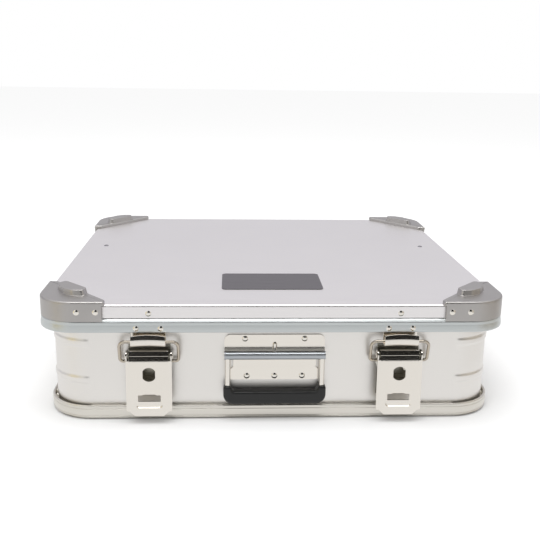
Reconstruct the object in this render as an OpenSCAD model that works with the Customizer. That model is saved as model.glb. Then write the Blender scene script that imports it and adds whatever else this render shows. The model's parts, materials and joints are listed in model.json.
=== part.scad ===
// Flat aluminium transport case: sheet body, lid with cast stacking corners,
// two draw latches, a sprung drop handle and two rear hinges.
// Millimetres. X to the right, Y to the back, Z up, origin on the floor under the middle of the case.
// Wall sections are drawn in two numbers: distance out from the wall's outer face, and height.

/* [Case] */
// Width of the body over its side walls
body_w = 564; // [440:1:700]
// Depth of the body from front wall to rear wall
body_d = 534; // [420:1:700]
// Corner radius of the body, on its outer face
body_r = 35; // [28:1:60]
// Thickness of the wall sheet
wall_t = 2; // [1.5:0.1:2.6]
// Height of the body's wall above the floor
wall_top = 131; // [128:1:220]
// Depth of the pressed corner beads
bead_depth = 1.4; // [0.6:0.1:1.4]
// Height of a corner bead
bead_h = 13; // [8:1:16]
// Length of a bead past the bend of its corner
bead_run = 16; // [4:1:40]
// Height of the lower bead's middle
bead_low_z = 51; // [36:1:60]
// Height of the upper bead's middle
bead_high_z = 100; // [76:1:106]

/* [Base] */
// How far the base rail stands out from the wall
base_proud = 6.5; // [6:0.5:12]
// Height of the base rail
base_h = 19; // [16:1:26]
// Thickness of the base rail's outer lip
base_lip_t = 3.5; // [2.5:0.5:5]
// Depth of the stacking recess under the base
recess_h = 8; // [7.5:0.5:10]
// Thickness of the base panel
panel_t = 1.5; // [1:0.1:3]

/* [Lid] */
// How far the lid's skirt stands out from the wall
skirt_out = 13; // [12.5:0.5:16]
// Height of the skirt's lower edge below the wall's top
skirt_drop = 13; // [10:0.5:16]
// Thickness of the skirt
skirt_t = 2.5; // [2:0.1:3]
// Radius of the skirt's rounded shoulder
shoulder_r = 8; // [7:0.5:10]
// Height of the lid panel above the wall's top
lid_rise = 21; // [19:0.5:40]
// Thickness of the lid sheet
lid_t = 1.5; // [1:0.1:2]
// Radius of the lid sheet's folded edge
lid_edge_r = 3; // [2:0.5:5]
// How far the rim band lies behind the skirt's face
rim_inset = 4.8; // [4:0.1:6]
// Thickness of the gasket
gasket_t = 2; // [1.5:0.1:4]
// Width of the gasket
gasket_w = 7; // [4:0.5:7]

/* [Corner pieces] */
// Length of a corner piece along each side, at its top plate
corner_leg = 87; // [78:1:120]
// Length that the top plate's nose reaches past the corner piece's side wall
corner_nose = 2.5; // [0:0.5:5]
// Radius of the top plate's nose
corner_nose_r = 13; // [8:1:16]
// Thickness of the top plate
corner_plate_t = 5; // [3:0.5:8]
// Height of the stacking pad
pad_h = 7; // [4:0.5:7]
// Radius of the stacking pad at its foot
pad_r = 26; // [20:1:28]
// Length of the stacking pad at its foot
pad_l = 40; // [24:1:44]
// Draft of the stacking pad, as a change of radius
pad_draft = 2.5; // [0.5:0.5:5]
// Place of the outer rivet, from the corner along each side
corner_rivet_near = 52; // [49:1:56]
// Place of the inner rivet, from the corner along each side
corner_rivet_far = 75; // [66:1:78]

/* [Latches] */
// Distance of each latch from the middle of the case
latch_x = 156; // [110:1:190]
// Width of the lever
lever_w = 56.5; // [48:0.5:66]
// Length of the lever below its pivot
lever_len = 76; // [70:1:78]
// Outward lean of the closed lever, in degrees
lever_tilt = 2.6; // [1:0.1:5]
// Thickness of the lever plate
lever_t = 1.5; // [1:0.1:1.7]
// Radius of the lever's rolled top
lever_roll_r = 7.5; // [7:0.1:8]
// Height of the lever's pivot
pivot_z = 87; // [86:0.5:88]
// Distance of the lever's pivot from the wall
pivot_out = 10.5; // [10.3:0.1:11]
// Distance between the lever's pivot and the bail's pivot
bail_throw = 8.7; // [8.5:0.1:9.2]
// Angle by which the closed bail lies past centre
bail_past = 26; // [24:0.5:27]
// Diameter of the bail's wire
bail_wire_d = 4; // [3:0.1:4]
// Outer width of the bail
bail_w = 76.5; // [72:0.5:90]
// Width of the hook on the lid
hook_w = 42.5; // [30:0.5:56]
// Thickness of the hook's sheet
hook_t = 1.5; // [1:0.1:1.6]
// Inner radius of the hook's trough
hook_r = 6; // [5.9:0.05:6.3]
// Angle at which the hook's lip ends, from straight down
hook_lip = 114; // [100:1:118]
// Length of the hook's straight lip
hook_lip_l = 4; // [1:0.5:5]
// Diameter of the double-D lock hole
lock_hole_d = 18; // [10:0.5:22]
// Width of the double-D lock hole across its flats
lock_hole_w = 15.4; // [8:0.1:18]
// Length of the padlock slot
slot_l = 28; // [16:0.5:32]
// Height of the padlock slot
slot_h = 8.5; // [5:0.5:10]

/* [Handle] */
// Width of the handle's tube and upper plate
handle_w = 126; // [110:1:160]
// Diameter of the handle's rod
rod_d = 7; // [6:0.1:8]
// Distance from the handle's pivot to the middle of its grip bar
handle_drop = 54.5; // [46:0.5:58]
// Height of the handle's pivot
handle_z = 87; // [84:0.5:90]
// Distance of the handle's pivot from the wall
handle_out = 10; // [9.5:0.1:11]
// Height of the grip bar's section
grip_h = 17; // [12:0.5:20]
// Depth of the grip's section
grip_t = 14; // [11:0.5:15]
// Width of the grip's upright ends
grip_side_w = 10.2; // [9.8:0.1:14]
// Length of the grip's upright ends above the grip bar
grip_rise = 7; // [4:0.5:12]

/* [Hinges] */
// Distance of each hinge from the middle of the case
hinge_x = 156; // [80:1:180]
// Width of a hinge
hinge_w = 70; // [50:1:100]
// Distance of the hinge axis from the wall
hinge_out = 20; // [17.7:0.1:24]
// Radius of the hinge's knuckles
knuckle_r = 3.9; // [3.4:0.05:4.2]
// Diameter of the hinge pin
hinge_pin_d = 4; // [3:0.1:5]

/* [Fasteners and trim] */
// Diameter of a rivet's head
rivet_head_d = 7.4; // [6:0.1:8]
// Height of a rivet's head
rivet_head_h = 2.2; // [1.5:0.1:2.6]
// Diameter of a rivet's shank
rivet_d = 4; // [3:0.1:4.8]
// Width of the plate on the lid
plate_w = 134; // [60:1:180]
// Depth of the plate on the lid
plate_d = 79; // [40:1:90]
// Thickness of the plate on the lid
plate_t = 0.8; // [0.5:0.1:2]
// Distance of the plate's middle from the front of the lid
plate_y = 113; // [70:1:160]
// Distance of the strap anchors from the side walls
anchor_in = 28; // [20:1:90]
// Distance of the strap anchors behind the middle of the case
anchor_y = 47.5; // [-100:0.5:150]

/* [Hidden] */
$fn = 64;
e = 0.01;
cut = 1;
fit = 0.1;
pin_clear = 0.05;
joint_gap = 0.3;
steel = "#e3e1dd";
alu = "#dcdad6";
sheet = "#d3d2d5";
cast = "#a9a6a5";
rail = "#cbc7c0";
black = "#2b2b2b";
slate = "#77727a";

// Base levels
shelf_t = 2.5;
shelf_in = 14;
wall_z = recess_h + shelf_t;
base_leg_t = 2.5;
base_leg_h = 13.5;
groove_h = 0.8;
groove_depth = 0.5;
groove_zs = [3.2, 5, 14];

// Body rim and lid levels
rim_leg_t = 2;
rim_leg_h = 10;
rim_cap_t = 2;
rim_cap_in = 7;
rim_cap_out = 3.5;
seat_z = wall_top + rim_cap_t;
gasket_z = seat_z + joint_gap;
web_z = gasket_z + gasket_t;
web_t = 2;
web_in = 9;
gasket_in = 6;
skirt_z = wall_top - skirt_drop;
lid_z = wall_top + lid_rise;
rim_out = skirt_out - rim_inset;
shoulder_o = skirt_out - shoulder_r;
shoulder_z = web_z - fit - sqrt(pow(shoulder_r, 2) - pow(rim_out - lid_t - shoulder_o, 2));
flange_z = web_z;
upstand_t = 1.9;
upstand_top = lid_z - lid_edge_r - lid_t;
skirt_in = skirt_out - skirt_t;
channel_t = 1.5;
channel_h = 1.2;
bead_flank = 2.3;

// Corner pieces
corner_shy = 0.4;
corner_out = skirt_out - corner_shy;
corner_in = rim_out + fit;
corner_lift = 4.6;
corner_low = shoulder_z + corner_lift;
corner_top = lid_z + corner_plate_t;
corner_r = body_r + corner_out;
corner_run = corner_leg - corner_nose - corner_r;
corner_rivet_drop = 0.8;
corner_rivet_z = (corner_low + corner_top) / 2 - corner_rivet_drop;
pad_cut = 5.8;
pad_back = 5;
pad_mid = corner_r + pad_back;
pad_slope = atan(pad_draft / pad_h);

// Latch
pin_d = 5;
pin_head_t = 1.2;
pin_head_rim = 1;
ear_t = 1.5;
ear_x = lever_w / 2 - ear_t;
cheek_gap = 0.65;
cheek_x = ear_x - cheek_gap - ear_t;
roll_w = 2 * (cheek_x - joint_gap);
roll_end = 170;
wire_r = bail_wire_d / 2;
latch_base_t = 1.5;
latch_base_low = 32;
latch_base_high = 99;
cheek_r = 5;
hook_mid = hook_r + hook_t / 2;
hook_out = skirt_in - fit - hook_t / 2 + hook_mid;
hook_drop = 8.9;
hook_z = skirt_z - hook_drop;
hook_over = 0.8;
hook_top = shoulder_z + hook_over;
hook_slack = 1.1;
hook_lean = 40;
lip_step = 0.1;
lip_root = 0.5;
rest_r = hook_r - wire_r - hook_slack;
keep_out = hook_out - rest_r * sin(hook_lean);
keep_z = hook_z - rest_r * cos(hook_lean);
bail_out = pivot_out - bail_throw * sin(bail_past);
bail_z = pivot_z - bail_throw * cos(bail_past);
bail_len = norm([keep_out - bail_out, keep_z - bail_z]);
bail_lean = atan2(keep_out - bail_out, keep_z - bail_z);
bail_leg_x = bail_w / 2 - wire_r;
bail_bend = 8;
bail_foot_bend = 4;
bail_end_in = 0.25;
bail_end_x = ear_x - bail_end_in;
bail_ear_r = 4.4;
lock_hole_z = -22;
slot_z = -52.5;
tab_w = 36;
tab_h = 7;
tab_shoulder = 4;
tab_step = 1.2;
slot_rise = 1;
slot_crown_w = 14;
slot_crown_foot = 18;
panel_press_w = 33;
panel_press_t = 0.6;
panel_press_top = -11;
panel_press_low = -66;
hook_rivet_x = 15;
hook_rivet_rise = 5;
hook_rivet_z = skirt_z + hook_rivet_rise;
rim_rivet_drop = 2.5;
rim_rivet_z = (flange_z + lid_z) / 2 - rim_rivet_drop;
latch_rivet_x = 12;
latch_rivet_zs = [42, 66];

// Handle
tube_r = 5.1;
tube_t = 0.9;
tube_start = -85;
tube_end = 120;
eye_r = tube_r - tube_t - fit;
eye_shy = 0.8;
eye_w = rod_d - eye_shy;
knuckle_shy = 0.2;
knuckle_out_r = eye_r - knuckle_shy;
rod_r = rod_d / 2;
rod_edge = 0.5;
rod_x = handle_w / 2 - rod_r - rod_edge;
rod_bend = 9;
grip_over = 0.4;
grip_half = rod_x + grip_side_w / 2 + grip_over;
grip_inner = grip_half - grip_side_w;
grip_round = 11;
handle_plate_t = 2;
upper_rise = 6.7;
upper_low = handle_z + upper_rise;
upper_h = 17.9;
upper_round = 6;
upper_rivet_x = 37.3;
upper_rivet_edge = 5.3;
upper_rivet_z = upper_low + upper_h - upper_rivet_edge;
bump_d = 4.6;
lower_w = 111;
lower_drop = 35.2;
lower_low = handle_z - lower_drop;
fold_drop = 17.5;
lower_fold = handle_z - fold_drop;
fold_over = 1;
lower_chamfer = 4;
web_w = 104;
web_angle = 63.4;
lower_rivet_x = 35;
lower_rivet_edge = 5;
lower_rivet_z = lower_low + lower_rivet_edge;
handle_knuckle_w = 18;
handle_knuckle_x = 39;
web_gap = 0.6;
web_reach = tube_r + web_gap;
web_half_t = 0.8;
web_bite = 0.5;
spring_wire_d = 1;
spring_r = 3.2;
spring_pitch = 1.5;
spring_turns = 9;
spring_x = 15;

// Hinges
hinge_rise = 3;
hinge_z = skirt_z + hinge_rise;
hinge_leaf_t = 2;
hinge_mid_w = hinge_w * 0.4;
hinge_leaf_h = 46;
hinge_leaf_low = hinge_z - hinge_leaf_h;
hinge_bend_drop = 18;
hinge_leaf_bend = hinge_z - hinge_bend_drop;
hinge_strap_gap = 2.2;
hinge_strap_z = hinge_z - knuckle_r - hinge_strap_gap;
lid_leaf_gap = 1.2;
lid_leaf_top = corner_low - lid_leaf_gap;
hinge_rivet_x = 24;
hinge_rivet_edge = 7;
hinge_rivet_pitch = 13;
hinge_rivet_low = hinge_leaf_low + hinge_rivet_edge;
hinge_rivet_zs = [hinge_rivet_low, hinge_rivet_low + hinge_rivet_pitch];
lid_rivet_edge = 4.2;
lid_hinge_rivet_z = lid_leaf_top - lid_rivet_edge;

// Trim
plate_r = 6;
anchor_w = 24;
anchor_t = 1.5;
anchor_drop = 18;
anchor_slot_w = 16;
anchor_slot_h = 6;
anchor_wall_z = 76;
anchor_edge = 3;
anchor_x = body_w / 2 - anchor_in;

sides = [["left", -1], ["right", 1]];
corners = [[-1, -1, 0], [1, -1, 90], [1, 1, 180], [-1, 1, 270]];

// Plain shapes

// Rectangle with round corners, centred
module round_rect(w, d, r) {
    square([w - 2 * r, d], center = true);
    square([w, d - 2 * r], center = true);
    for (x = [-1, 1], y = [-1, 1]) translate([x * (w / 2 - r), y * (d / 2 - r)]) circle(r);
}

// Straight stretches of a wall section, round the body's outline
module wall_straights(trim = 0) {
    for (a = [0, 180]) rotate(a) translate([body_w / 2, 0, 0]) rotate([90, 0, 0])
        linear_extrude(body_d - 2 * body_r - 2 * trim, center = true) children();
    for (a = [90, 270]) rotate(a) translate([body_d / 2, 0, 0]) rotate([90, 0, 0])
        linear_extrude(body_w - 2 * body_r - 2 * trim, center = true) children();
}

// One corner of a wall section: a quarter turn with a straight run at each end
module wall_corner(corner, run = 0) {
    translate([corner[0] * (body_w / 2 - body_r), corner[1] * (body_d / 2 - body_r), 0])
    rotate(corner[2] + 180) {
        rotate_extrude(angle = 90) translate([body_r, 0]) children();
        if (run > 0) {
            translate([body_r, 0, 0]) rotate([90, 0, 0]) linear_extrude(run) children();
            rotate(90) translate([body_r, run, 0]) rotate([90, 0, 0]) linear_extrude(run) children();
        }
    }
}

// A wall section all the way round the body
module wall_ring() {
    wall_straights() children();
    for (c = corners) wall_corner(c) children();
}

// A section at the front wall, drawn out along X
module front_section(x, w) {
    translate([x, -body_d / 2, 0]) mirror([0, 1, 0]) rotate([90, 0, 90])
        linear_extrude(w, center = true) children();
}

// A section at the rear wall, drawn out along X
module rear_section(x, w) {
    translate([x, body_d / 2, 0]) rotate([90, 0, 90]) linear_extrude(w, center = true) children();
}

// Sector of a circle from angle a to angle b, as a mask
module sector(a, b, r) {
    steps = 6;
    polygon(concat([[0, 0]], [for (i = [0:steps]) let (t = a + (b - a) * i / steps) r * [cos(t), sin(t)]]));
}

// Sheet rolled round the origin from angle a to angle b
module rolled(r, t, a, b) {
    intersection() {
        difference() {
            circle(r);
            circle(r - t);
        }
        sector(a, b, 2 * r);
    }
}

// Dome-headed rivet along Z, its head on Z = 0
module rivet(grip) {
    dome_r = (pow(rivet_head_d / 2, 2) + pow(rivet_head_h, 2)) / (2 * rivet_head_h);
    rotate_extrude() intersection() {
        translate([0, rivet_head_h - dome_r]) circle(dome_r);
        square([rivet_head_d, rivet_head_h]);
    }
    translate([0, 0, -grip]) cylinder(h = grip, d = rivet_d);
}

// Hole for a rivet along Z, open above Z = 0
module rivet_hole(grip) {
    translate([0, 0, -grip - cut]) cylinder(h = grip + 2 * cut, d = rivet_d + 2 * pin_clear);
}

// Faces that rivets stand on: front, rear, and the two sides of a corner
module on_front(x, out, z) translate([x, -body_d / 2 - out, z]) rotate([90, 0, 0]) children();
module on_rear(x, out, z) translate([x, body_d / 2 + out, z]) rotate([-90, 0, 0]) children();
module on_side(s, out, y, z) translate([s * (body_w / 2 + out), y, z]) rotate([0, s * 90, 0]) children();

// Base and body

module base_section() {
    lip_in = base_proud - base_lip_t;
    difference() {
        union() {
            translate([lip_in, 0]) square([base_lip_t, base_h - base_lip_t / 2]);
            translate([lip_in + base_lip_t / 2, base_h - base_lip_t / 2]) circle(base_lip_t / 2);
            translate([-shelf_in, recess_h]) square([shelf_in + lip_in + e, shelf_t]);
            translate([-wall_t - base_leg_t, wall_z - e]) square([base_leg_t, base_leg_h]);
        }
        for (z = groove_zs) translate([base_proud - groove_depth, z]) square([cut, groove_h]);
    }
}

module base_rail() color(rail) wall_ring() base_section();

module base_panel() color(alu) {
    inset = 2 * (wall_t + base_leg_t);
    translate([0, 0, wall_z]) linear_extrude(panel_t)
        round_rect(body_w - inset, body_d - inset, body_r - inset / 2);
}

// Wall section with its two pressed beads
function bead(z, base, swell) = [
    [base, z - bead_h / 2], [base + swell, z - bead_h / 2 + bead_flank],
    [base + swell, z + bead_h / 2 - bead_flank], [base, z + bead_h / 2]
];
function reversed(list) = [for (i = [len(list) - 1:-1:0]) list[i]];
function bead_face(base) = concat([[base, wall_z]], bead(bead_low_z, base, bead_depth),
    bead(bead_high_z, base, bead_depth), [[base, wall_top]]);

module body_shell() color(alu) difference() {
    union() {
        wall_straights(bead_run) translate([-wall_t, wall_z]) square([wall_t, wall_top - wall_z]);
        for (c = corners) wall_corner(c, bead_run)
            polygon(concat(bead_face(0), reversed(bead_face(-wall_t))));
    }
    handle_rivet_places() rivet_hole(wall_t + handle_plate_t);
    latch_rivet_places() rivet_hole(wall_t + latch_base_t);
    hinge_body_rivet_places() rivet_hole(wall_t + hinge_leaf_t);
    anchor_body_rivet_places() rivet_hole(wall_t + anchor_t);
}

module body_rim() color(rail) wall_ring() {
    translate([-rim_cap_in, wall_top]) square([rim_cap_in + rim_cap_out, rim_cap_t]);
    translate([0, wall_top - rim_leg_h]) square([rim_leg_t, rim_leg_h + e]);
    translate([-wall_t - rim_leg_t, wall_top - rim_leg_h]) square([rim_leg_t, rim_leg_h + e]);
}

// Lid

module shoulder_disc(r) translate([shoulder_o, shoulder_z]) circle(r);

module lid_frame_section() {
    skirt_round = skirt_t / 2;
    upstand_out = rim_out - lid_t - fit;
    upstand_in = upstand_out - upstand_t;
    straight_z = skirt_z + skirt_round;
    straight_h = shoulder_z - straight_z;
    difference() {
        union() {
            translate([upstand_in, straight_z]) square([skirt_out - upstand_in, straight_h]);
            intersection() {
                shoulder_disc(shoulder_r);
                translate([upstand_in, straight_z]) square([2 * shoulder_r, 3 * shoulder_r]);
            }
        }
        shoulder_disc(shoulder_r - skirt_t);
        translate([upstand_in - cut, straight_z - cut])
            square([skirt_in - upstand_in + cut, straight_h + cut]);
    }
    translate([skirt_in + skirt_round, straight_z]) circle(skirt_round);
    translate([upstand_in, web_z - skirt_t / 2]) square([upstand_t, upstand_top - web_z + skirt_t / 2]);
    translate([-web_in, web_z]) square([web_in + upstand_in + e, web_t]);
    for (x = [-gasket_in - joint_gap - channel_t, gasket_w - gasket_in + joint_gap])
        translate([x, web_z - channel_h]) square([channel_t, channel_h + e]);
}

module lid_frame() color(sheet) difference() {
    wall_ring() lid_frame_section();
    hook_rivet_places() rivet_hole(skirt_t + hook_t);
    hinge_lid_rivet_places() rivet_hole(skirt_t + hinge_leaf_t);
    rim_rivet_places() rivet_hole(lid_t + fit + upstand_t);
}

module lid_sheet_section() {
    translate([rim_out - lid_t, flange_z]) square([lid_t, lid_z - lid_edge_r - flange_z]);
    translate([rim_out - lid_edge_r, lid_z - lid_edge_r]) rolled(lid_edge_r, lid_t, 0, 90);
}

module lid_sheet() color(sheet) difference() {
    union() {
        wall_ring() lid_sheet_section();
        inset = 2 * (rim_out - lid_edge_r);
        translate([0, 0, lid_z - lid_t]) linear_extrude(lid_t)
            round_rect(body_w + inset, body_d + inset, body_r + inset / 2);
    }
    rim_rivet_places() rivet_hole(lid_t + fit + upstand_t);
    for (c = corners) corner_rivet_places(c) rivet_hole(corner_out - rim_out + lid_t);
    anchor_lid_rivet_places() rivet_hole(lid_t + anchor_t);
}

module lid_gasket() color(black) wall_ring()
    translate([-gasket_in, gasket_z]) square([gasket_w, gasket_t]);

module lid_plate() color(slate)
    translate([0, -body_d / 2 - skirt_out + plate_y, lid_z]) linear_extrude(plate_t)
        round_rect(plate_w, plate_d, plate_r);

module rim_rivet_places() for (s = [-1, 1]) on_front(s * latch_x, rim_out, rim_rivet_z) children();
module rim_rivets() color(steel) rim_rivet_places() rivet(lid_t + fit + upstand_t);

// Cast corner piece

module to_corner(c) translate([c[0] * (body_w / 2 + corner_out), c[1] * (body_d / 2 + corner_out), 0])
    rotate(c[2]) children();

module corner_wall_section() difference() {
    translate([corner_in, corner_low]) square([corner_out - corner_in, lid_z + fit - corner_low + e]);
    shoulder_disc(shoulder_r + fit);
}

// Outline of the top plate, from the outer corner inwards
module corner_plate_outline() {
    n = corner_nose_r;
    far = corner_leg - n;
    side = n / sqrt(2);
    intersection() {
        union() {
            polygon([[0, 0], [far, 0], [far + side, n + side], [n + side, far + side], [0, far]]);
            translate([far, n]) circle(n);
            translate([n, far]) circle(n);
        }
        union() {
            translate([corner_r, corner_r]) circle(corner_r);
            translate([corner_r, 0]) square(corner_leg);
            translate([0, corner_r]) square(corner_leg);
        }
    }
}

// Stacking pad: part of a cone, cut straight along the plate's diagonal, with sloping ends
module stacking_pad() translate([pad_mid, pad_mid, corner_top - e]) difference() {
    cylinder(h = pad_h + e, r1 = pad_r, r2 = pad_r - pad_draft);
    rotate(45) {
        translate([-pad_cut, -pad_r, -cut]) cube([pad_cut + pad_r, 2 * pad_r, pad_h + 2 * cut]);
        for (side = [-1, 1]) translate([-pad_r, side * pad_l / 2, 0]) rotate([side * pad_slope, 0, 0])
            translate([0, side > 0 ? 0 : -pad_r, -pad_h]) cube([2 * pad_r, pad_r, 3 * pad_h]);
    }
}

module corner_rivet_places(c) to_corner(c) for (at = [corner_rivet_near, corner_rivet_far]) {
    translate([at, 0, corner_rivet_z]) rotate([90, 0, 0]) children();
    translate([0, at, corner_rivet_z]) rotate([0, -90, 0]) children();
}

module corner_piece(c) color(cast) difference() {
    union() {
        wall_corner(c, corner_run) corner_wall_section();
        to_corner(c) {
            translate([0, 0, lid_z + fit]) linear_extrude(corner_plate_t - fit) corner_plate_outline();
            stacking_pad();
        }
    }
    corner_rivet_places(c) rivet_hole(corner_out - rim_out + lid_t);
}

module corner_rivets() color(steel) for (c = corners)
    corner_rivet_places(c) rivet(corner_out - rim_out + lid_t);

// Latches

module hook_section() {
    translate([skirt_in - fit - hook_t, hook_z]) square([hook_t, hook_top - hook_z]);
    translate([hook_out, hook_z]) {
        rolled(hook_r + hook_t, hook_t, 180, 270 + hook_lip);
        rotate(hook_lip - 90) translate([hook_r + lip_step, -lip_root])
            square([hook_t - 2 * lip_step, hook_lip_l + lip_root]);
    }
}

module hook(s) color(steel) difference() {
    front_section(s * latch_x, hook_w) hook_section();
    hook_rivet_places() rivet_hole(skirt_t + fit + hook_t);
}

module hook_rivet_places() for (s = [-1, 1], r = [-1, 1])
    on_front(s * latch_x + r * hook_rivet_x, skirt_out, hook_rivet_z) children();
module hook_rivets() color(steel) hook_rivet_places() rivet(skirt_t + fit + hook_t);

module at_pivot(s) translate([s * latch_x, -body_d / 2 - pivot_out, pivot_z]) children();
module cross_bore(d, w) rotate([0, 90, 0]) cylinder(h = w, d = d, center = true);

module latch_base(s) color(steel) difference() {
    union() {
        front_section(s * latch_x, 2 * (cheek_x + ear_t))
            translate([0, latch_base_low]) square([latch_base_t, latch_base_high - latch_base_low]);
        for (side = [-1, 1]) front_section(s * latch_x + side * (cheek_x + ear_t / 2), ear_t) {
            translate([latch_base_t - e, pivot_z - cheek_r]) square([pivot_out - latch_base_t, 2 * cheek_r]);
            translate([pivot_out, pivot_z]) circle(cheek_r);
        }
    }
    at_pivot(s) cross_bore(pin_d + 2 * pin_clear, lever_w);
    latch_rivet_places() rivet_hole(wall_t + latch_base_t);
}

module latch_pin(s) color(steel) at_pivot(s) {
    cross_bore(pin_d, lever_w + 2 * joint_gap);
    for (side = [-1, 1]) translate([side * (lever_w / 2 + joint_gap + pin_head_t / 2), 0, 0])
        cross_bore(pin_d + 2 * pin_head_rim, pin_head_t);
}

module latch_rivet_places() for (s = [-1, 1], r = [-1, 1], z = latch_rivet_zs)
    on_front(s * latch_x + r * latch_rivet_x, latch_base_t, z) children();
module latch_rivets() color(steel) latch_rivet_places() rivet(wall_t + latch_base_t);

// A section drawn out along X about a pivot
module pivot_section(x, w) translate([x, 0, 0]) mirror([0, 1, 0]) rotate([90, 0, 90])
    linear_extrude(w, center = true) children();

// Outline of the lever's face, cut-outs of the face
module lever_outline() {
    half = lever_w / 2;
    low = -lever_len;
    step_z = low + tab_h - tab_step;
    polygon([[-half, 0], [half, 0], [half, low + tab_h], [half - tab_shoulder, step_z], [tab_w / 2, low],
        [-tab_w / 2, low], [-half + tab_shoulder, step_z], [-half, low + tab_h]]);
}

module lever_cutouts() {
    translate([0, lock_hole_z]) intersection() {
        circle(d = lock_hole_d);
        square([lock_hole_w, lock_hole_d], center = true);
    }
    crown_z = slot_h / 2 + slot_rise;
    translate([0, slot_z]) {
        square([slot_l, slot_h], center = true);
        polygon([[-slot_crown_foot / 2, 0], [slot_crown_foot / 2, 0], [slot_crown_w / 2, crown_z],
            [-slot_crown_w / 2, crown_z]]);
    }
}

module latch_lever(s) color(steel) at_pivot(s) rotate([-lever_tilt, 0, 0]) difference() {
    local = bail_past + lever_tilt;
    bail_at = bail_throw * [-sin(local), -cos(local)];
    union() {
        translate([0, -lever_roll_r + lever_t, 0]) rotate([90, 0, 0]) linear_extrude(lever_t) lever_outline();
        pivot_section(0, roll_w) rolled(lever_roll_r, lever_t, 0, roll_end);
        for (side = [-1, 1]) pivot_section(side * (ear_x + ear_t / 2), ear_t) {
            circle(lever_roll_r);
            translate(bail_at) circle(bail_ear_r);
            polygon([bail_at + [-bail_ear_r, 0], [-lever_roll_r, 0], [lever_roll_r, 0],
                [lever_roll_r, bail_at[1]], bail_at + [0, -bail_ear_r]]);
        }
    }
    cross_bore(pin_d + 2 * pin_clear, lever_w + 2 * cut);
    translate([0, -bail_at[0], bail_at[1]]) cross_bore(bail_wire_d + 2 * pin_clear, lever_w + 2 * cut);
    translate([0, -lever_roll_r + lever_t + cut, 0]) rotate([90, 0, 0])
        linear_extrude(lever_t + 2 * cut) lever_cutouts();
    translate([0, -lever_roll_r + panel_press_t, 0]) rotate([90, 0, 0]) linear_extrude(panel_press_t + cut)
        translate([-panel_press_w / 2, panel_press_low])
            square([panel_press_w, panel_press_top - panel_press_low]);
}

// Quarter bend of round wire in the XZ plane, from +X to +Z
module wire_bend(bend, r) rotate([90, 0, 0]) rotate_extrude(angle = 90) translate([bend, 0]) circle(r);

module latch_bail(s) color(steel)
translate([s * latch_x, -body_d / 2 - bail_out, bail_z]) rotate([bail_lean, 0, 0]) {
    translate([0, 0, bail_len]) cross_bore(bail_wire_d, 2 * (bail_leg_x - bail_bend) + 2 * e);
    for (side = [0, 180]) rotate(side) {
        translate([bail_leg_x - bail_bend, 0, bail_len - bail_bend]) wire_bend(bail_bend, wire_r);
        translate([bail_leg_x, 0, bail_foot_bend])
            cylinder(h = bail_len - bail_bend - bail_foot_bend, r = wire_r);
        translate([bail_leg_x - bail_foot_bend, 0, bail_foot_bend]) rotate([0, 90, 0])
            wire_bend(bail_foot_bend, wire_r);
        translate([bail_end_x, 0, 0]) rotate([0, 90, 0])
            cylinder(h = bail_leg_x - bail_foot_bend - bail_end_x, r = wire_r);
    }
}

// Handle

module at_handle() translate([0, -body_d / 2 - handle_out, handle_z]) children();

module handle_rivet_places() {
    for (x = [-upper_rivet_x, upper_rivet_x]) on_front(x, handle_plate_t, upper_rivet_z) children();
    for (x = [-lower_rivet_x, 0, lower_rivet_x]) on_front(x, handle_plate_t, lower_rivet_z) children();
}
module handle_rivets() color(steel) handle_rivet_places() rivet(wall_t + handle_plate_t);

module handle_upper_plate() color(steel) difference() {
    union() {
        translate([0, -body_d / 2, upper_low]) rotate([90, 0, 0]) linear_extrude(handle_plate_t) {
            translate([-handle_w / 2, 0]) square([handle_w, upper_h - upper_round]);
            translate([-handle_w / 2 + upper_round, 0]) square([handle_w - 2 * upper_round, upper_h]);
            for (x = [-1, 1]) translate([x * (handle_w / 2 - upper_round), upper_h - upper_round])
                circle(upper_round);
        }
        translate([0, -body_d / 2 - handle_plate_t, upper_low]) cylinder(h = bump_d, d = bump_d);
        translate([0, -body_d / 2 - handle_plate_t, upper_low + bump_d]) sphere(d = bump_d);
    }
    handle_rivet_places() rivet_hole(wall_t + handle_plate_t);
    translate([-handle_w / 2, -body_d / 2, upper_low]) cube([handle_w, bump_d, upper_h]);
}

// Slanted web between the plate's fold and the pin, cut off at a distance from the pin
module hinge_plate_web(from) {
    dir = [cos(web_angle), sin(web_angle)];
    side = [-sin(web_angle), cos(web_angle)] * web_half_t;
    top = [handle_out, handle_z] - dir * from;
    foot = [handle_out, handle_z] - dir * ((handle_z - lower_fold) / sin(web_angle));
    polygon([foot - side, top - side, top + side, foot + side]);
}

module hinge_plate_outline() {
    half = lower_w / 2;
    side_z = lower_fold - lower_chamfer;
    top_z = lower_fold + fold_over;
    polygon([[-half, lower_low], [half, lower_low], [half, side_z], [half - lower_chamfer, top_z],
        [-half + lower_chamfer, top_z], [-half, side_z]]);
}

module handle_hinge_plate() color(steel) difference() {
    union() {
        translate([0, -body_d / 2, 0]) rotate([90, 0, 0]) linear_extrude(handle_plate_t)
            hinge_plate_outline();
        front_section(0, web_w) hinge_plate_web(web_reach);
        for (x = [-1, 1]) front_section(x * handle_knuckle_x, handle_knuckle_w) {
            hinge_plate_web(knuckle_out_r - web_bite);
            translate([handle_out, handle_z]) circle(knuckle_out_r);
        }
    }
    at_handle() cross_bore(pin_d + 2 * pin_clear, handle_w);
    handle_rivet_places() rivet_hole(wall_t + handle_plate_t);
    translate([-handle_w / 2, -body_d / 2, lower_low]) cube([handle_w, wall_t, handle_z - lower_low]);
}

module handle_pin() color(steel) at_handle() cross_bore(pin_d, 2 * (rod_x + rod_r));

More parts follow.
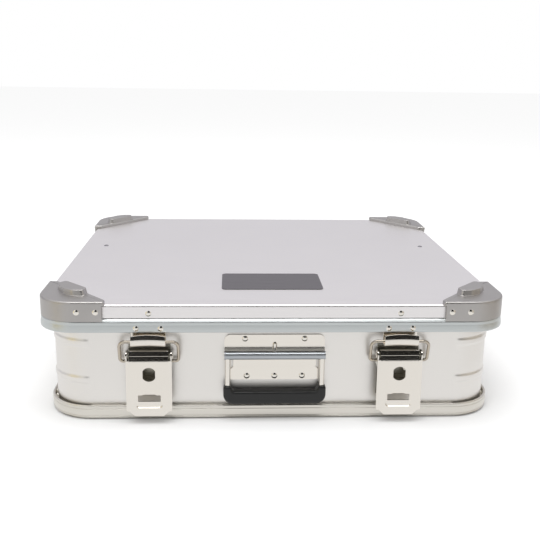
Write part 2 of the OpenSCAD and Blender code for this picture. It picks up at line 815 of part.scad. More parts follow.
// Torsion spring: one unbroken tube of six-sided rings along a helix, with a straight run at each end
spring_rings = 10;
function spring_place(i) = let (t = 360 * i / spring_rings)
    [spring_pitch * i / spring_rings, spring_r * cos(t), spring_r * sin(t)];
function spring_way(i) = let (t = 360 * i / spring_rings) [0, -sin(t), cos(t)];
function spring_point(i, count) = let (j = max(0, min(count, i)))
    spring_place(j) + (i - j) * spring_wire_d * spring_way(j);
module torsion_spring(x) {
    sides = 6;
    count = spring_turns * spring_rings;
    points = [for (i = [-1:count + 1], k = [0:sides - 1]) let (
        t = 360 * max(0, min(count, i)) / spring_rings,
        a = 360 * k / sides,
        swell = spring_wire_d / 2 * cos(a)
    ) spring_point(i, count) + [spring_wire_d / 2 * sin(a), swell * cos(t), swell * sin(t)]];
    last = (count + 2) * sides;
    tube = [for (i = [0:count + 1], k = [0:sides - 1]) let (
        a = i * sides + k,
        b = i * sides + (k + 1) % sides
    ) each [[a, b, a + sides], [b, b + sides, a + sides]]];
    ends = [for (k = [1:sides - 2]) each [[0, k + 1, k], [last, last + k, last + k + 1]]];
    gap = min([for (i = [0:spring_rings], j = [i + spring_rings - 2:i + spring_rings + 2])
        norm(spring_place(i) - spring_place(j))]) - spring_wire_d;
    echo(spring_least_gap = gap);
    at_handle() translate([x, 0, 0]) polyhedron(points, concat(tube, ends));
}
module handle_spring(s) color(steel)
    torsion_spring(s > 0 ? spring_x : -spring_x - spring_turns * spring_pitch);

module handle_tube() color(steel) difference() {
    at_handle() pivot_section(0, handle_w) rolled(tube_r, tube_t, tube_start, tube_end);
    at_handle() for (x = [-rod_x, rod_x]) translate([x, 0, -2 * tube_r])
        cylinder(h = 2 * tube_r, r = rod_r + fit);
}

// The bent rod's own shape, thickened by a clearance
module rod_path(extra) {
    low = -handle_drop + rod_bend;
    for (x = [-1, 1]) {
        translate([x * rod_x, 0, low]) cylinder(h = -low, r = rod_r + extra);
        translate([x * (rod_x - rod_bend), 0, low]) rotate([0, 0, x > 0 ? 0 : 180]) rotate([0, 90, 0])
            wire_bend(rod_bend, rod_r + extra);
    }
    translate([0, 0, -handle_drop]) cross_bore(rod_d + 2 * extra, 2 * (rod_x - rod_bend));
}

module handle_bar() color(steel) at_handle() difference() {
    union() {
        rod_path(0);
        for (x = [-rod_x, rod_x]) translate([x, 0, 0]) cross_bore(2 * eye_r, eye_w);
    }
    cross_bore(pin_d + 2 * pin_clear, handle_w + 2 * cut);
}

module grip_outline() {
    low = -handle_drop - grip_h / 2;
    top = -handle_drop + grip_h / 2 + grip_rise;
    difference() {
        union() {
            translate([-grip_half, low + grip_round]) square([2 * grip_half, top - low - grip_round]);
            translate([-grip_half + grip_round, low]) square([2 * (grip_half - grip_round), grip_h]);
            for (x = [-1, 1]) translate([x * (grip_half - grip_round), low + grip_round]) circle(grip_round);
        }
        translate([-grip_inner, low + grip_h]) square([2 * grip_inner, grip_h + grip_rise]);
    }
}

module handle_grip() color(black) at_handle() difference() {
    translate([0, grip_t / 2, 0]) rotate([90, 0, 0]) linear_extrude(grip_t) grip_outline();
    rod_path(fit);
}

// Hinges

module at_hinge(s) translate([s * hinge_x, body_d / 2 + hinge_out, hinge_z]) children();

module hinge_body_leaf(s) color(steel) difference() {
    union() {
        rear_section(s * hinge_x, hinge_w) {
            translate([0, hinge_leaf_low]) square([hinge_leaf_t, hinge_leaf_bend - hinge_leaf_low]);
            polygon([[0, hinge_leaf_bend - hinge_leaf_t], [hinge_leaf_t, hinge_leaf_bend - hinge_leaf_t],
                [hinge_out, hinge_strap_z - hinge_leaf_t], [hinge_out, hinge_strap_z],
                [hinge_out - hinge_leaf_t, hinge_strap_z], [0, hinge_leaf_bend]]);
        }
        for (side = [-1, 1]) rear_section(s * hinge_x + side * (hinge_w + hinge_mid_w + 2 * joint_gap) / 4,
            (hinge_w - hinge_mid_w - 2 * joint_gap) / 2) {
            translate([hinge_out, hinge_z]) circle(knuckle_r);
            translate([hinge_out - hinge_leaf_t, hinge_strap_z - hinge_leaf_t])
                square([hinge_leaf_t, hinge_z - hinge_strap_z]);
        }
    }
    at_hinge(s) cross_bore(hinge_pin_d + 2 * pin_clear, hinge_w + 2 * cut);
    hinge_body_rivet_places() rivet_hole(wall_t + hinge_leaf_t);
}

module hinge_lid_leaf(s) color(steel) difference() {
    union() {
        rear_section(s * hinge_x, hinge_w)
            translate([skirt_out + fit, hinge_z + knuckle_r + joint_gap])
            square([hinge_leaf_t, lid_leaf_top - hinge_z - knuckle_r - joint_gap]);
        rear_section(s * hinge_x, hinge_mid_w) {
            translate([hinge_out, hinge_z]) circle(knuckle_r);
            translate([skirt_out + fit, hinge_z]) square([hinge_out - skirt_out - fit, knuckle_r]);
            translate([skirt_out + fit, hinge_z]) square([hinge_leaf_t, knuckle_r + joint_gap + e]);
        }
    }
    at_hinge(s) cross_bore(hinge_pin_d + 2 * pin_clear, hinge_w + 2 * cut);
    hinge_lid_rivet_places() rivet_hole(skirt_t + hinge_leaf_t);
}

module hinge_pin(s) color(steel) at_hinge(s) cross_bore(hinge_pin_d, hinge_w);

module hinge_body_rivet_places() for (s = [-1, 1], r = [-1, 1], z = hinge_rivet_zs)
    on_rear(s * hinge_x + r * hinge_rivet_x, hinge_leaf_t, z) children();
module hinge_body_rivets() color(steel) hinge_body_rivet_places() rivet(wall_t + hinge_leaf_t);

module hinge_lid_rivet_places() for (s = [-1, 1], r = [-1, 1])
    on_rear(s * hinge_x + r * hinge_rivet_x, skirt_out + fit + hinge_leaf_t, lid_hinge_rivet_z) children();
module hinge_lid_rivets() color(steel) hinge_lid_rivet_places() rivet(skirt_t + fit + hinge_leaf_t);

// Anchors for a lid strap

// Anchor on the XY plane: a riveted foot and a slotted tab that stands up from one edge
module strap_anchor() difference() {
    union() {
        translate([-anchor_w / 2, -anchor_w / 2, 0]) cube([anchor_w, anchor_w, anchor_t]);
        translate([-anchor_w / 2, -anchor_w / 2, 0]) cube([anchor_t, anchor_w, anchor_drop]);
    }
    translate([-anchor_w / 2 - cut, -anchor_slot_w / 2, anchor_drop - anchor_edge - anchor_slot_h])
        cube([anchor_t + 2 * cut, anchor_slot_w, anchor_slot_h]);
    translate([0, 0, -cut]) cylinder(h = anchor_t + 2 * cut, d = rivet_d + 2 * pin_clear);
}

module strap_anchor_lid(s) color(steel) translate([s * anchor_x, anchor_y, lid_z - lid_t])
    rotate([180, 0, s > 0 ? 0 : 180]) strap_anchor();
module strap_anchor_body(s) color(steel) translate([s * (body_w / 2 - wall_t), anchor_y, anchor_wall_z])
    rotate(s > 0 ? 0 : 180) rotate([0, -90, 0]) strap_anchor();

module anchor_lid_rivet_places() for (s = [-1, 1]) translate([s * anchor_x, anchor_y, lid_z]) children();
module strap_anchor_lid_rivets() color(steel) anchor_lid_rivet_places() rivet(lid_t + anchor_t);
module anchor_body_rivet_places() for (s = [-1, 1]) on_side(s, 0, anchor_y, anchor_wall_z) children();
module strap_anchor_body_rivets() color(steel) anchor_body_rivet_places() rivet(wall_t + anchor_t);

base_rail();
base_panel();
body_shell();
body_rim();
lid_sheet();
lid_frame();
lid_gasket();
lid_plate();
corner_piece(corners[0]);  // corner_front_left
corner_piece(corners[1]);  // corner_front_right
corner_piece(corners[2]);  // corner_rear_right
corner_piece(corners[3]);  // corner_rear_left
corner_rivets();
rim_rivets();
hook_rivets();
latch_rivets();
for (s = sides) {
    hook(s[1]);
    latch_base(s[1]);
    latch_pin(s[1]);
    latch_lever(s[1]);
    latch_bail(s[1]);
    handle_spring(s[1]);
    hinge_body_leaf(s[1]);
    hinge_lid_leaf(s[1]);
    hinge_pin(s[1]);
    strap_anchor_lid(s[1]);
    strap_anchor_body(s[1]);
}
handle_upper_plate();
handle_hinge_plate();
handle_pin();
handle_rivets();
handle_tube();
handle_bar();
handle_grip();
hinge_body_rivets();
hinge_lid_rivets();
strap_anchor_lid_rivets();
strap_anchor_body_rivets();
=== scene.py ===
"""Looks of a flat aluminium transport case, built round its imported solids, in metres."""
import json
import logging
import math
from collections.abc import Callable
from dataclasses import dataclass
from enum import Enum
from typing import ClassVar

import bmesh
import bpy
from mathutils import Matrix, Vector


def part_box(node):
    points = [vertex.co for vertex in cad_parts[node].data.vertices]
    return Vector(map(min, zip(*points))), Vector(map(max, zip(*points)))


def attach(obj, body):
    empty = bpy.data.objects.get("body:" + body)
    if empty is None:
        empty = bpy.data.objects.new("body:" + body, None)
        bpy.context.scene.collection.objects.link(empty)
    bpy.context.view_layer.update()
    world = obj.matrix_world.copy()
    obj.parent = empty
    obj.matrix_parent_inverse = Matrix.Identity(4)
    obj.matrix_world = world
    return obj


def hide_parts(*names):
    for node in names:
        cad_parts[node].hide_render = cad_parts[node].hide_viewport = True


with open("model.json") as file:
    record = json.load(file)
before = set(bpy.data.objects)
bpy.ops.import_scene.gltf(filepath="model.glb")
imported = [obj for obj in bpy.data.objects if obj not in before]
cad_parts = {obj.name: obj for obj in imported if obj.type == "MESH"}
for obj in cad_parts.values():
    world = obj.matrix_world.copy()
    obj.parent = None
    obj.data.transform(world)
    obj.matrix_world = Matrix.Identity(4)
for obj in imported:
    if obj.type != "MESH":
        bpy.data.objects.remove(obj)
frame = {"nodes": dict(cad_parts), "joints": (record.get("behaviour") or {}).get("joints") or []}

MM = 0.001
WELD = 1e-6
FINE_WELD = 1e-7
FLAT_TURN = math.radians(0.3)
LOG = logging.getLogger("case")
Mesh = bmesh.types.BMesh
Point = tuple[float, float]
Triple = tuple[float, float, float]
Colour = tuple[float, float, float, float]


class Side(Enum):
    """The two sides of the case, with the sign of X."""

    LEFT = -1
    RIGHT = 1

    @property
    def label(self) -> str:
        """The side's name as the nodes write it."""
        return self.name.lower()


class LidCorner(Enum):
    """The lid's four corners, with the signs of X and Y."""

    FRONT_LEFT = (-1, -1)
    FRONT_RIGHT = (1, -1)
    REAR_RIGHT = (1, 1)
    REAR_LEFT = (-1, 1)

    @property
    def label(self) -> str:
        """The corner's name as the nodes write it."""
        return self.name.lower()


class Soften(Enum):
    """How a piece's edges are eased."""

    NONE = "none"
    BEVEL = "bevel"
    CAST = "cast"


# Materials


def linear(colour: str) -> Colour:
    """Turns an sRGB hex colour into linear light.

    Args:
        colour: six hex digits after a hash sign.
    Returns:
        Red, green, blue and a full alpha.
    """
    parts = [int(colour[i:i + 2], 16) / 255 for i in (1, 3, 5)]
    return (*[p / 12.92 if p <= 0.04045 else ((p + 0.055) / 1.055) ** 2.4 for p in parts], 1.0)


def bare_tree(block: bpy.types.Material | bpy.types.World) -> bpy.types.NodeTree:
    """Empties the node tree of a new material or world.

    Args:
        block: the material or world.
    Returns:
        Its empty tree.
    """
    block.use_nodes = True
    block.node_tree.nodes.clear()
    return block.node_tree


def add(
    tree: bpy.types.NodeTree, kind: str, settings: dict | None = None, links: dict | None = None,
) -> bpy.types.Node:
    """Adds one node with its settings and its links.

    Args:
        tree: the tree that gets the node.
        kind: the node's type name.
        settings: values by input name, or by attribute name.
        links: output sockets by input name.
    Returns:
        The new node.
    """
    node = tree.nodes.new(kind)
    for key, value in (settings or {}).items():
        if isinstance(key, str) and hasattr(node, key):
            setattr(node, key, value)
        else:
            node.inputs[key].default_value = value
    for key, socket in (links or {}).items():
        tree.links.new(socket, node.inputs[key])
    return node


@dataclass(frozen=True)
class Finish:
    """A surface: its colour, how it takes light, and two patterns with real sizes in millimetres."""

    GRAIN_DETAIL: ClassVar[float] = 3.0
    WAVE_DETAIL: ClassVar[float] = 1.5
    GRAIN_SPAN: ClassVar[Point] = (0.3, 0.7)
    TINT_SPAN: ClassVar[Point] = (0.7, 1.3)

    name: str
    colour: str
    metallic: float
    roughness: float
    grain_mm: Triple
    grain_depth_mm: float
    wave_mm: float
    wave_depth_mm: float
    tone: float = 0.03
    spread: float = 0.06

    def shade(self, factor: float) -> Colour:
        """The finish's colour, lighter or darker by a factor."""
        return (*[min(1.0, c * factor) for c in linear(self.colour)[:3]], 1.0)

    def material(self) -> bpy.types.Material:
        """Builds the finish's node tree once.

        Returns:
            The material.
        """
        made = bpy.data.materials.get(self.name)
        if made:
            return made
        made = bpy.data.materials.new(self.name)
        tree = bare_tree(made)
        place = add(tree, "ShaderNodeTexCoord").outputs["Object"]
        stretch = add(
            tree, "ShaderNodeMapping", {"Scale": [1 / (g * MM) for g in self.grain_mm]}, {"Vector": place},
        )
        grain = add(
            tree, "ShaderNodeTexNoise", {"Scale": 1.0, "Detail": self.GRAIN_DETAIL},
            {"Vector": stretch.outputs["Vector"]},
        )
        wave = add(
            tree, "ShaderNodeTexNoise", {"Scale": 1 / (self.wave_mm * MM), "Detail": self.WAVE_DETAIL},
            {"Vector": place},
        )
        both = add(tree, "ShaderNodeMath", {"operation": "ADD"}, {0: grain.outputs[0], 1: wave.outputs[0]})
        share = add(
            tree, "ShaderNodeMapRange", {"From Min": self.TINT_SPAN[0], "From Max": self.TINT_SPAN[1]},
            {"Value": both.outputs[0]},
        )
        tint = add(
            tree, "ShaderNodeMix",
            {"data_type": "RGBA", 6: self.shade(1 - self.tone), 7: self.shade(1 + self.tone)},
            {0: share.outputs["Result"]},
        )
        rough = add(
            tree, "ShaderNodeMapRange",
            {"From Min": self.GRAIN_SPAN[0], "From Max": self.GRAIN_SPAN[1],
             "To Min": self.roughness - self.spread, "To Max": self.roughness + self.spread},
            {"Value": grain.outputs[0]},
        )
        swell = add(
            tree, "ShaderNodeBump", {"Distance": self.wave_depth_mm * MM}, {"Height": wave.outputs[0]},
        )
        fine = add(
            tree, "ShaderNodeBump", {"Distance": self.grain_depth_mm * MM},
            {"Height": grain.outputs[0], "Normal": swell.outputs["Normal"]},
        )
        surface = add(
            tree, "ShaderNodeBsdfPrincipled", {"Metallic": self.metallic},
            {"Base Color": tint.outputs[2], "Roughness": rough.outputs["Result"],
             "Normal": fine.outputs["Normal"]},
        )
        add(tree, "ShaderNodeOutputMaterial", None, {"Surface": surface.outputs["BSDF"]})
        return made


# Real rolling lines, die lines, brush marks and leather grain are too fine to show from where the case is
# seen, so they are drawn 0.5 to 1.2 mm wide.

# Rolled aluminium sheet, pickled: an even satin grey with a faint grain along the rolling direction.
LID_SHEET = Finish(
    "rolled_aluminium_lid", "#ebe8e8", 1.0, 0.40, (60, 1.2, 1.2), 0.002, 160, 0.03, 0.006, 0.03)
# The same sheet, rolled round the corners: a little warmer, with long soft waves from the forming.
WALL_SHEET = Finish(
    "rolled_aluminium_wall", "#e5e2de", 1.0, 0.38, (60, 60, 1.2), 0.003, 140, 0.05, 0.012, 0.04)
# Extruded aluminium rail: satin, with die lines along its length.
RAIL = Finish("extruded_aluminium_rail", "#d8d4cc", 1.0, 0.36, (90, 90, 0.8), 0.0006, 90, 0.008, 0.01)
# Rolled skirt section: bluer than the sheet, with an even sheen along its length.
SKIRT = Finish("bright_rolled_skirt", "#c5c9c9", 1.0, 0.36, (90, 90, 0.9), 0.0005, 120, 0.02, 0.01)
# Die-cast aluminium, shot blasted: a soft matt grey with fine grit, drawn at 0.9 mm so that it shows.
CAST = Finish("die_cast_aluminium", "#b0adab", 1.0, 0.40, (0.9, 0.9, 0.9), 0.02, 30, 0.03, 0.03)
# Pressed stainless steel, bright rolled: clear reflections, barely softened.
STAINLESS = Finish(
    "bright_stainless_steel", "#e2ddd5", 1.0, 0.17, (40, 40, 0.7), 0.0007, 35, 0.012, 0.01, 0.04)
# Stainless plate left as rolled, its colour darkened as painted shade that stands for the shade behind a
# lever.
DULL_STEEL = Finish(
    "plain_rolled_stainless", "#8d8a80", 1.0, 0.30, (40, 40, 0.9), 0.002, 35, 0.01, 0.02, 0.05)
# Drawn stainless wire: a smooth skin with narrow, clear reflections along its length.
WIRE = Finish("drawn_stainless_wire", "#b8afa2", 1.0, 0.09, (8, 8, 0.8), 0.002, 25, 0.01, 0.015, 0.04)
# Polished steel: each rivet head is a small mirror, whose one dark spot is the painted reflection of the dark
# card.
RIVET = Finish("polished_rivet_steel", "#e2ded6", 1.0, 0.08, (2, 2, 2), 0.001, 6, 0.004, 0.01, 0.03)
# Oxidised aluminium: the rivets in the lid's face have a dull grey skin.
DULL_RIVET = Finish("oxidised_rivet_aluminium", "#77757a", 1.0, 0.45, (2, 2, 2), 0.003, 6, 0.02, 0.04, 0.03)
# Zinc-plated tube, brushed along its length: a blue-grey sheen.
ZINC = Finish("brushed_zinc_tube", "#b0b4b8", 1.0, 0.36, (30, 0.6, 0.6), 0.002, 30, 0.01, 0.04)
# Zinc-plated spring steel: a greyer sheen.
SPRING = Finish("plated_spring_steel", "#b5b4b0", 1.0, 0.30, (3, 3, 3), 0.002, 12, 0.004, 0.03)
# Soft moulded vinyl: black with a fine leathery grain.
VINYL = Finish("moulded_vinyl_black", "#060606", 0.0, 0.36, (0.9, 0.9, 0.9), 0.03, 14, 0.05, 0.08, 0.08)
# Moulded sponge rubber of the lid's seal: a dull black that takes no clear reflection.
RUBBER = Finish("moulded_rubber_seal", "#1d1d1d", 0.0, 0.70, (0.8, 0.8, 0.8), 0.05, 9, 0.05, 0.10)
# Anodised plate: dark grey, with a very fine brushed line along its width.
ANODISED = Finish("anodised_dark_plate", "#5b585c", 0.35, 0.45, (30, 0.5, 0.5), 0.0006, 60, 0.02, 0.01)


# Meshes


def join_flats(bm: Mesh) -> None:
    """Joins the triangles of each flat face again."""
    bmesh.ops.dissolve_limit(bm, angle_limit=FLAT_TURN, verts=bm.verts, edges=bm.edges)


def solid_copy(node: str, join: bool = True) -> Mesh:
    """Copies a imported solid.

    Args:
        node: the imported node's name.
        join: whether triangles of one flat face are joined again, which suits faces without holes.
    Returns:
        The copy, for a new piece.
    """
    bm = bmesh.new()
    bm.from_mesh(frame["nodes"][node].data)
    bmesh.ops.remove_doubles(bm, verts=bm.verts, dist=WELD)
    if join:
        join_flats(bm)
    return bm


def joint_place(name: str) -> Vector:
    """Where a packed joint lies at rest."""
    return Vector(next(j["pos_m"] for j in frame["joints"] if j["name"] == name))


def bevel_edges(piece: bpy.types.Object, width: float, turn: float) -> None:
    """Eases the sharp edges of a piece by a small round.

    Args:
        piece: the piece.
        width: the round's width.
        turn: edges that turn more than this are eased.
    """
    ease = piece.modifiers.new("eased edges", "BEVEL")
    ease.width = width
    ease.segments = 2
    ease.limit_method = "ANGLE"
    ease.angle_limit = turn


def cast_skin(piece: bpy.types.Object, cell: float) -> None:
    """Covers a piece with one smooth moulded skin.

    Args:
        piece: the piece.
        cell: the size of the skin's cells.
    """
    skin = piece.modifiers.new("cast skin", "REMESH")
    skin.mode = "VOXEL"
    skin.voxel_size = cell
    skin.use_smooth_shade = True
    calm = piece.modifiers.new("eased skin", "SMOOTH")
    calm.factor = 0.5
    calm.iterations = 4


def finish_piece(
    name: str, bm: Mesh, finish: Finish, body: str, node: str,
    soften: Soften = Soften.NONE, ease_mm: float = 0.3, sharp_deg: float = 38.0,
) -> None:
    """Turns a mesh into a dressed piece that rides on its body.

    Args:
        name: the piece's name.
        bm: its mesh, used up here.
        finish: its surface.
        body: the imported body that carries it.
        node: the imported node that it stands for.
        soften: how its edges are eased.
        ease_mm: bevel width, or cell size of a cast skin.
        sharp_deg: edges above this angle stay sharp where nothing eases them.
    """
    turn = math.radians(sharp_deg)
    bmesh.ops.recalc_face_normals(bm, faces=bm.faces)
    for face in bm.faces:
        face.smooth = True
    for edge in bm.edges:
        flat = len(edge.link_faces) == 2 and edge.calc_face_angle() < turn
        edge.smooth = flat or soften is Soften.BEVEL
    mesh = bpy.data.meshes.new(name)
    bm.to_mesh(mesh)
    bm.free()
    piece = bpy.data.objects.new(name, mesh)
    bpy.context.scene.collection.objects.link(piece)
    mesh.materials.append(finish.material())
    if soften is Soften.BEVEL:
        bevel_edges(piece, ease_mm * MM, turn)
    if soften is Soften.CAST:
        cast_skin(piece, ease_mm * MM)
    else:
        even = piece.modifiers.new("flat faces lead", "WEIGHTED_NORMAL")
        even.keep_sharp = True
    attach(piece, body)
    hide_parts(node)
    LOG.info("%s: %d faces on %s", name, len(mesh.polygons), body)


def arc(centre: Point, radius: float, start: float, end: float, steps: int) -> list[Point]:
    """Points along an arc.

    Args:
        centre: the arc's middle.
        radius: its radius.
        start: first angle in degrees.
        end: last angle in degrees.
        steps: how many chords.
    Returns:
        The points, both ends included.
    """
    angles = [math.radians(start + (end - start) * i / steps) for i in range(steps + 1)]
    return [(centre[0] + radius * math.cos(a), centre[1] + radius * math.sin(a)) for a in angles]


def circle(centre: Point, radius: float, sides: int = 24) -> list[Point]:
    """Points round a full circle, the first one given once."""
    return arc(centre, radius, 0, 360 - 360 / sides, sides - 1)


def rounded(corners: list[Triple], steps: int = 6) -> list[Point]:
    """A closed outline with its corners rounded.

    Args:
        corners: x, y and radius of each corner, in order.
        steps: chords in each round.
    Returns:
        The outline's points.
    """
    outline: list[Point] = []
    count = len(corners)
    for i, (x, y, radius) in enumerate(corners):
        here = Vector((x, y))
        if radius <= 0:
            outline.append((x, y))
            continue
        before = (Vector(corners[i - 1][:2]) - here).normalized()
        after = (Vector(corners[(i + 1) % count][:2]) - here).normalized()
        half = before.angle(after) / 2
        middle = here + (before + after).normalized() * (radius / math.sin(half))
        first = here + before * (radius / math.tan(half)) - middle
        last = here + after * (radius / math.tan(half)) - middle
        turn = first.angle_signed(last)
        for k in range(steps + 1):
            spoke = Matrix.Rotation(-turn * k / steps, 2) @ first
            outline.append(tuple(middle + spoke))
    return outline


def mirrored(right: list[Triple]) -> list[Triple]:
    """The left half that belongs to the right half of an outline, in the outline's order."""
    return [(-x, z, radius) for x, z, radius in reversed(right)]


def fill(bm: Mesh, loops: list[list[Vector]]) -> None:
    """Fills the flat area inside the first loop and outside the others.

    Args:
        bm: the mesh that gets the faces.
        loops: closed loops of points.
    """
    edges = []
    for loop in loops:
        verts = [bm.verts.new(p) for p in loop]
        edges += [bm.edges.new((verts[i - 1], verts[i])) for i in range(len(verts))]
    bmesh.ops.triangle_fill(bm, use_beauty=True, use_dissolve=False, edges=edges)


def bridge(bm: Mesh, row: list[bmesh.types.BMVert], ahead: list[bmesh.types.BMVert]) -> None:
    """Joins two closed rows of corners by a ring of faces.

    Args:
        bm: the mesh that gets the faces.
        row: the first row.
        ahead: the second row, with as many corners.
    """
    for k in range(len(row)):
        j = (k + 1) % len(row)
        bm.faces.new((row[k], row[j], ahead[j], ahead[k]))


def thicken(bm: Mesh, offset: Vector) -> None:
    """Turns an open sheet into a closed plate by moving a copy of it.

    Args:
        bm: the sheet.
        offset: from the first face to the second.
    """
    bmesh.ops.remove_doubles(bm, verts=bm.verts, dist=FINE_WELD)
    rim = [(e.verts[0], e.verts[1]) for e in bm.edges if len(e.link_faces) == 1]
    copy = bmesh.ops.duplicate(bm, geom=bm.verts[:] + bm.edges[:] + bm.faces[:])
    twin = copy["vert_map"]
    moved = [v for v in copy["geom"] if isinstance(v, bmesh.types.BMVert)]
    bmesh.ops.translate(bm, verts=moved, vec=offset)
    for a, b in rim:
        bm.faces.new((a, b, twin[b], twin[a]))


def bar(
    bm: Mesh, loops: list[list[Point]], low: float, high: float,
    to_world: Callable[[float, float, float], Vector],
) -> None:
    """A closed bar: flat outlines filled at two stations, with walls between.

    Args:
        bm: the mesh that gets the bar.
        loops: the outline, then its holes, in the bar's own plane.
        low: first station along the bar.
        high: last station along the bar.
        to_world: turns a station and a point of the plane into a place.
    """
    part = bmesh.new()
    fill(part, [[to_world(low, *p) for p in loop] for loop in loops])
    start, end = to_world(low, 0, 0), to_world(high, 0, 0)
    thicken(part, end - start)
    bmesh.ops.recalc_face_normals(part, faces=part.faces)
    spare = bpy.data.meshes.new("bar")
    part.to_mesh(spare)
    part.free()
    bm.from_mesh(spare)
    bpy.data.meshes.remove(spare)


@dataclass(frozen=True)
class Station:
    """A place on the wall's outline, its outward normal, and how much of a corner bead there is."""

    place: Vector
    normal: Vector
    bead: float


@dataclass(frozen=True)
class WallOutline:
    """The body's rounded rectangle, seen from above."""

    width: float = 564 * MM
    depth: float = 534 * MM
    radius: float = 35 * MM
    bead_end: float = 231 * MM
    bead_fade: float = 7 * MM
    arc_steps: int = 60
    slack: float = 0.01 * MM

    @property
    def core(self) -> Point:
        """Half the width and half the depth between the middles of the corner rounds."""
        return self.width / 2 - self.radius, self.depth / 2 - self.radius

    @property
    def front(self) -> float:
        """Where the face of the front wall lies."""
        return self.depth / -2

    def bead_at(self, inside: float) -> float:
        """The share of the bead's full height at a distance inside its end, measured along the wall."""
        t = min(1.0, max(0.0, inside / self.bead_fade))
        return math.sqrt(max(0.0, 1 - (1 - t) ** 2))

    def stations(self) -> list[Station]:
        """Walks once round the outline.

        Returns:
            The stations, which are close together at the corners.
        """
        core_x, core_y = self.core
        past_end = core_x - self.bead_end
        made: list[Station] = []
        for quarter, (sx, sy) in enumerate(((1, 1), (-1, 1), (-1, -1), (1, -1))):
            middle = Vector((sx * core_x, sy * core_y, 0))
            for step in range(self.arc_steps + 1):
                turn = math.radians(90 * step / self.arc_steps)
                inside = self.radius * min(turn, math.pi / 2 - turn) + past_end
                angle = math.radians(quarter * 90) + turn
                normal = Vector((math.cos(angle), math.sin(angle), 0))
                made.append(Station(middle + normal * self.radius, normal, self.bead_at(inside)))
        return made

    def outward(self, point: Vector) -> tuple[Vector, float]:
        """Measures a point against the outline.

        Args:
            point: any place.
        Returns:
            The outward normal of the outline next to it, and how far outside the outline it lies.
        """
        core_x, core_y = self.core
        near = Vector((max(-core_x, min(core_x, point.x)), max(-core_y, min(core_y, point.y)), point.z))
        away = point - near
        return away.normalized(), away.length - self.radius

    def reshape(self, bm: Mesh, wider: "WallOutline") -> Mesh:
        """Bends a piece that follows this outline to one with wider corners.

        Args:
            bm: the piece.
            wider: the outline to follow.
        Returns:
            The same mesh.
        """
        core_x, core_y = self.core
        shrink = wider.radius - self.radius
        for vert in bm.verts:
            if abs(vert.co.x) > core_x - self.slack and abs(vert.co.y) > core_y - self.slack:
                normal, _ = self.outward(vert.co)
                corner = Vector((math.copysign(shrink, vert.co.x), math.copysign(shrink, vert.co.y), 0))
                vert.co += normal * shrink - corner
        return bm


def swept_ring(outline: WallOutline, section: Callable[[Station], list[Point]]) -> Mesh:
    """Sweeps a closed wall section round the outline.

    Args:
        outline: the path.
        section: gives the section at a station, as distances out and heights.
    Returns:
        A closed ring.
    """
    bm = bmesh.new()
    rows = []
    for stop in outline.stations():
        places = [stop.place + stop.normal * out + Vector((0, 0, z)) for out, z in section(stop)]
        rows.append([bm.verts.new(p) for p in places])
    for i, row in enumerate(rows):
        bridge(bm, row, rows[(i + 1) % len(rows)])
    return bm


def before_wall(out: float, x: float, z: float) -> Vector:
    """A place before the front wall: how far out, across, up."""
    return Vector((x, WallOutline().front - out, z))


def along_wall(x: float, out: float, z: float) -> Vector:
    """The same place for a bar that runs across the wall: across, how far out, up."""
    return before_wall(out, x, z)


def folds(bm: Mesh, turn: float) -> list[bmesh.types.BMEdge]:
    """The edges between two faces that turn more than an angle."""
    return [e for e in bm.edges if len(e.link_faces) == 2 and e.calc_face_angle() > turn]


def round_edges(bm: Mesh, edges: list[bmesh.types.BMEdge], width: float, steps: int) -> None:
    """Rounds some edges of a mesh by a width, in a number of steps."""
    bmesh.ops.bevel(bm, geom=edges, offset=width, segments=steps, profile=0.5, affect="EDGES")


def finish_copy(
    name: str, node: str, finish: Finish, body: str, join: bool = True,
    soften: Soften = Soften.NONE, ease_mm: float = 0.3, sharp_deg: float = 38.0,
) -> None:
    """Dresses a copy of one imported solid.

    Args:
        name: the piece's name.
        node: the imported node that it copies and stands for.
        finish: its surface.
        body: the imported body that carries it.
        join: whether triangles of one flat face are joined again.
        soften: how its edges are eased.
        ease_mm: bevel width, or cell size of a cast skin.
        sharp_deg: edges above this angle stay sharp where nothing eases them.
    """
    finish_piece(name, solid_copy(node, join), finish, body, node, soften, ease_mm, sharp_deg)


# Sub-assemblies


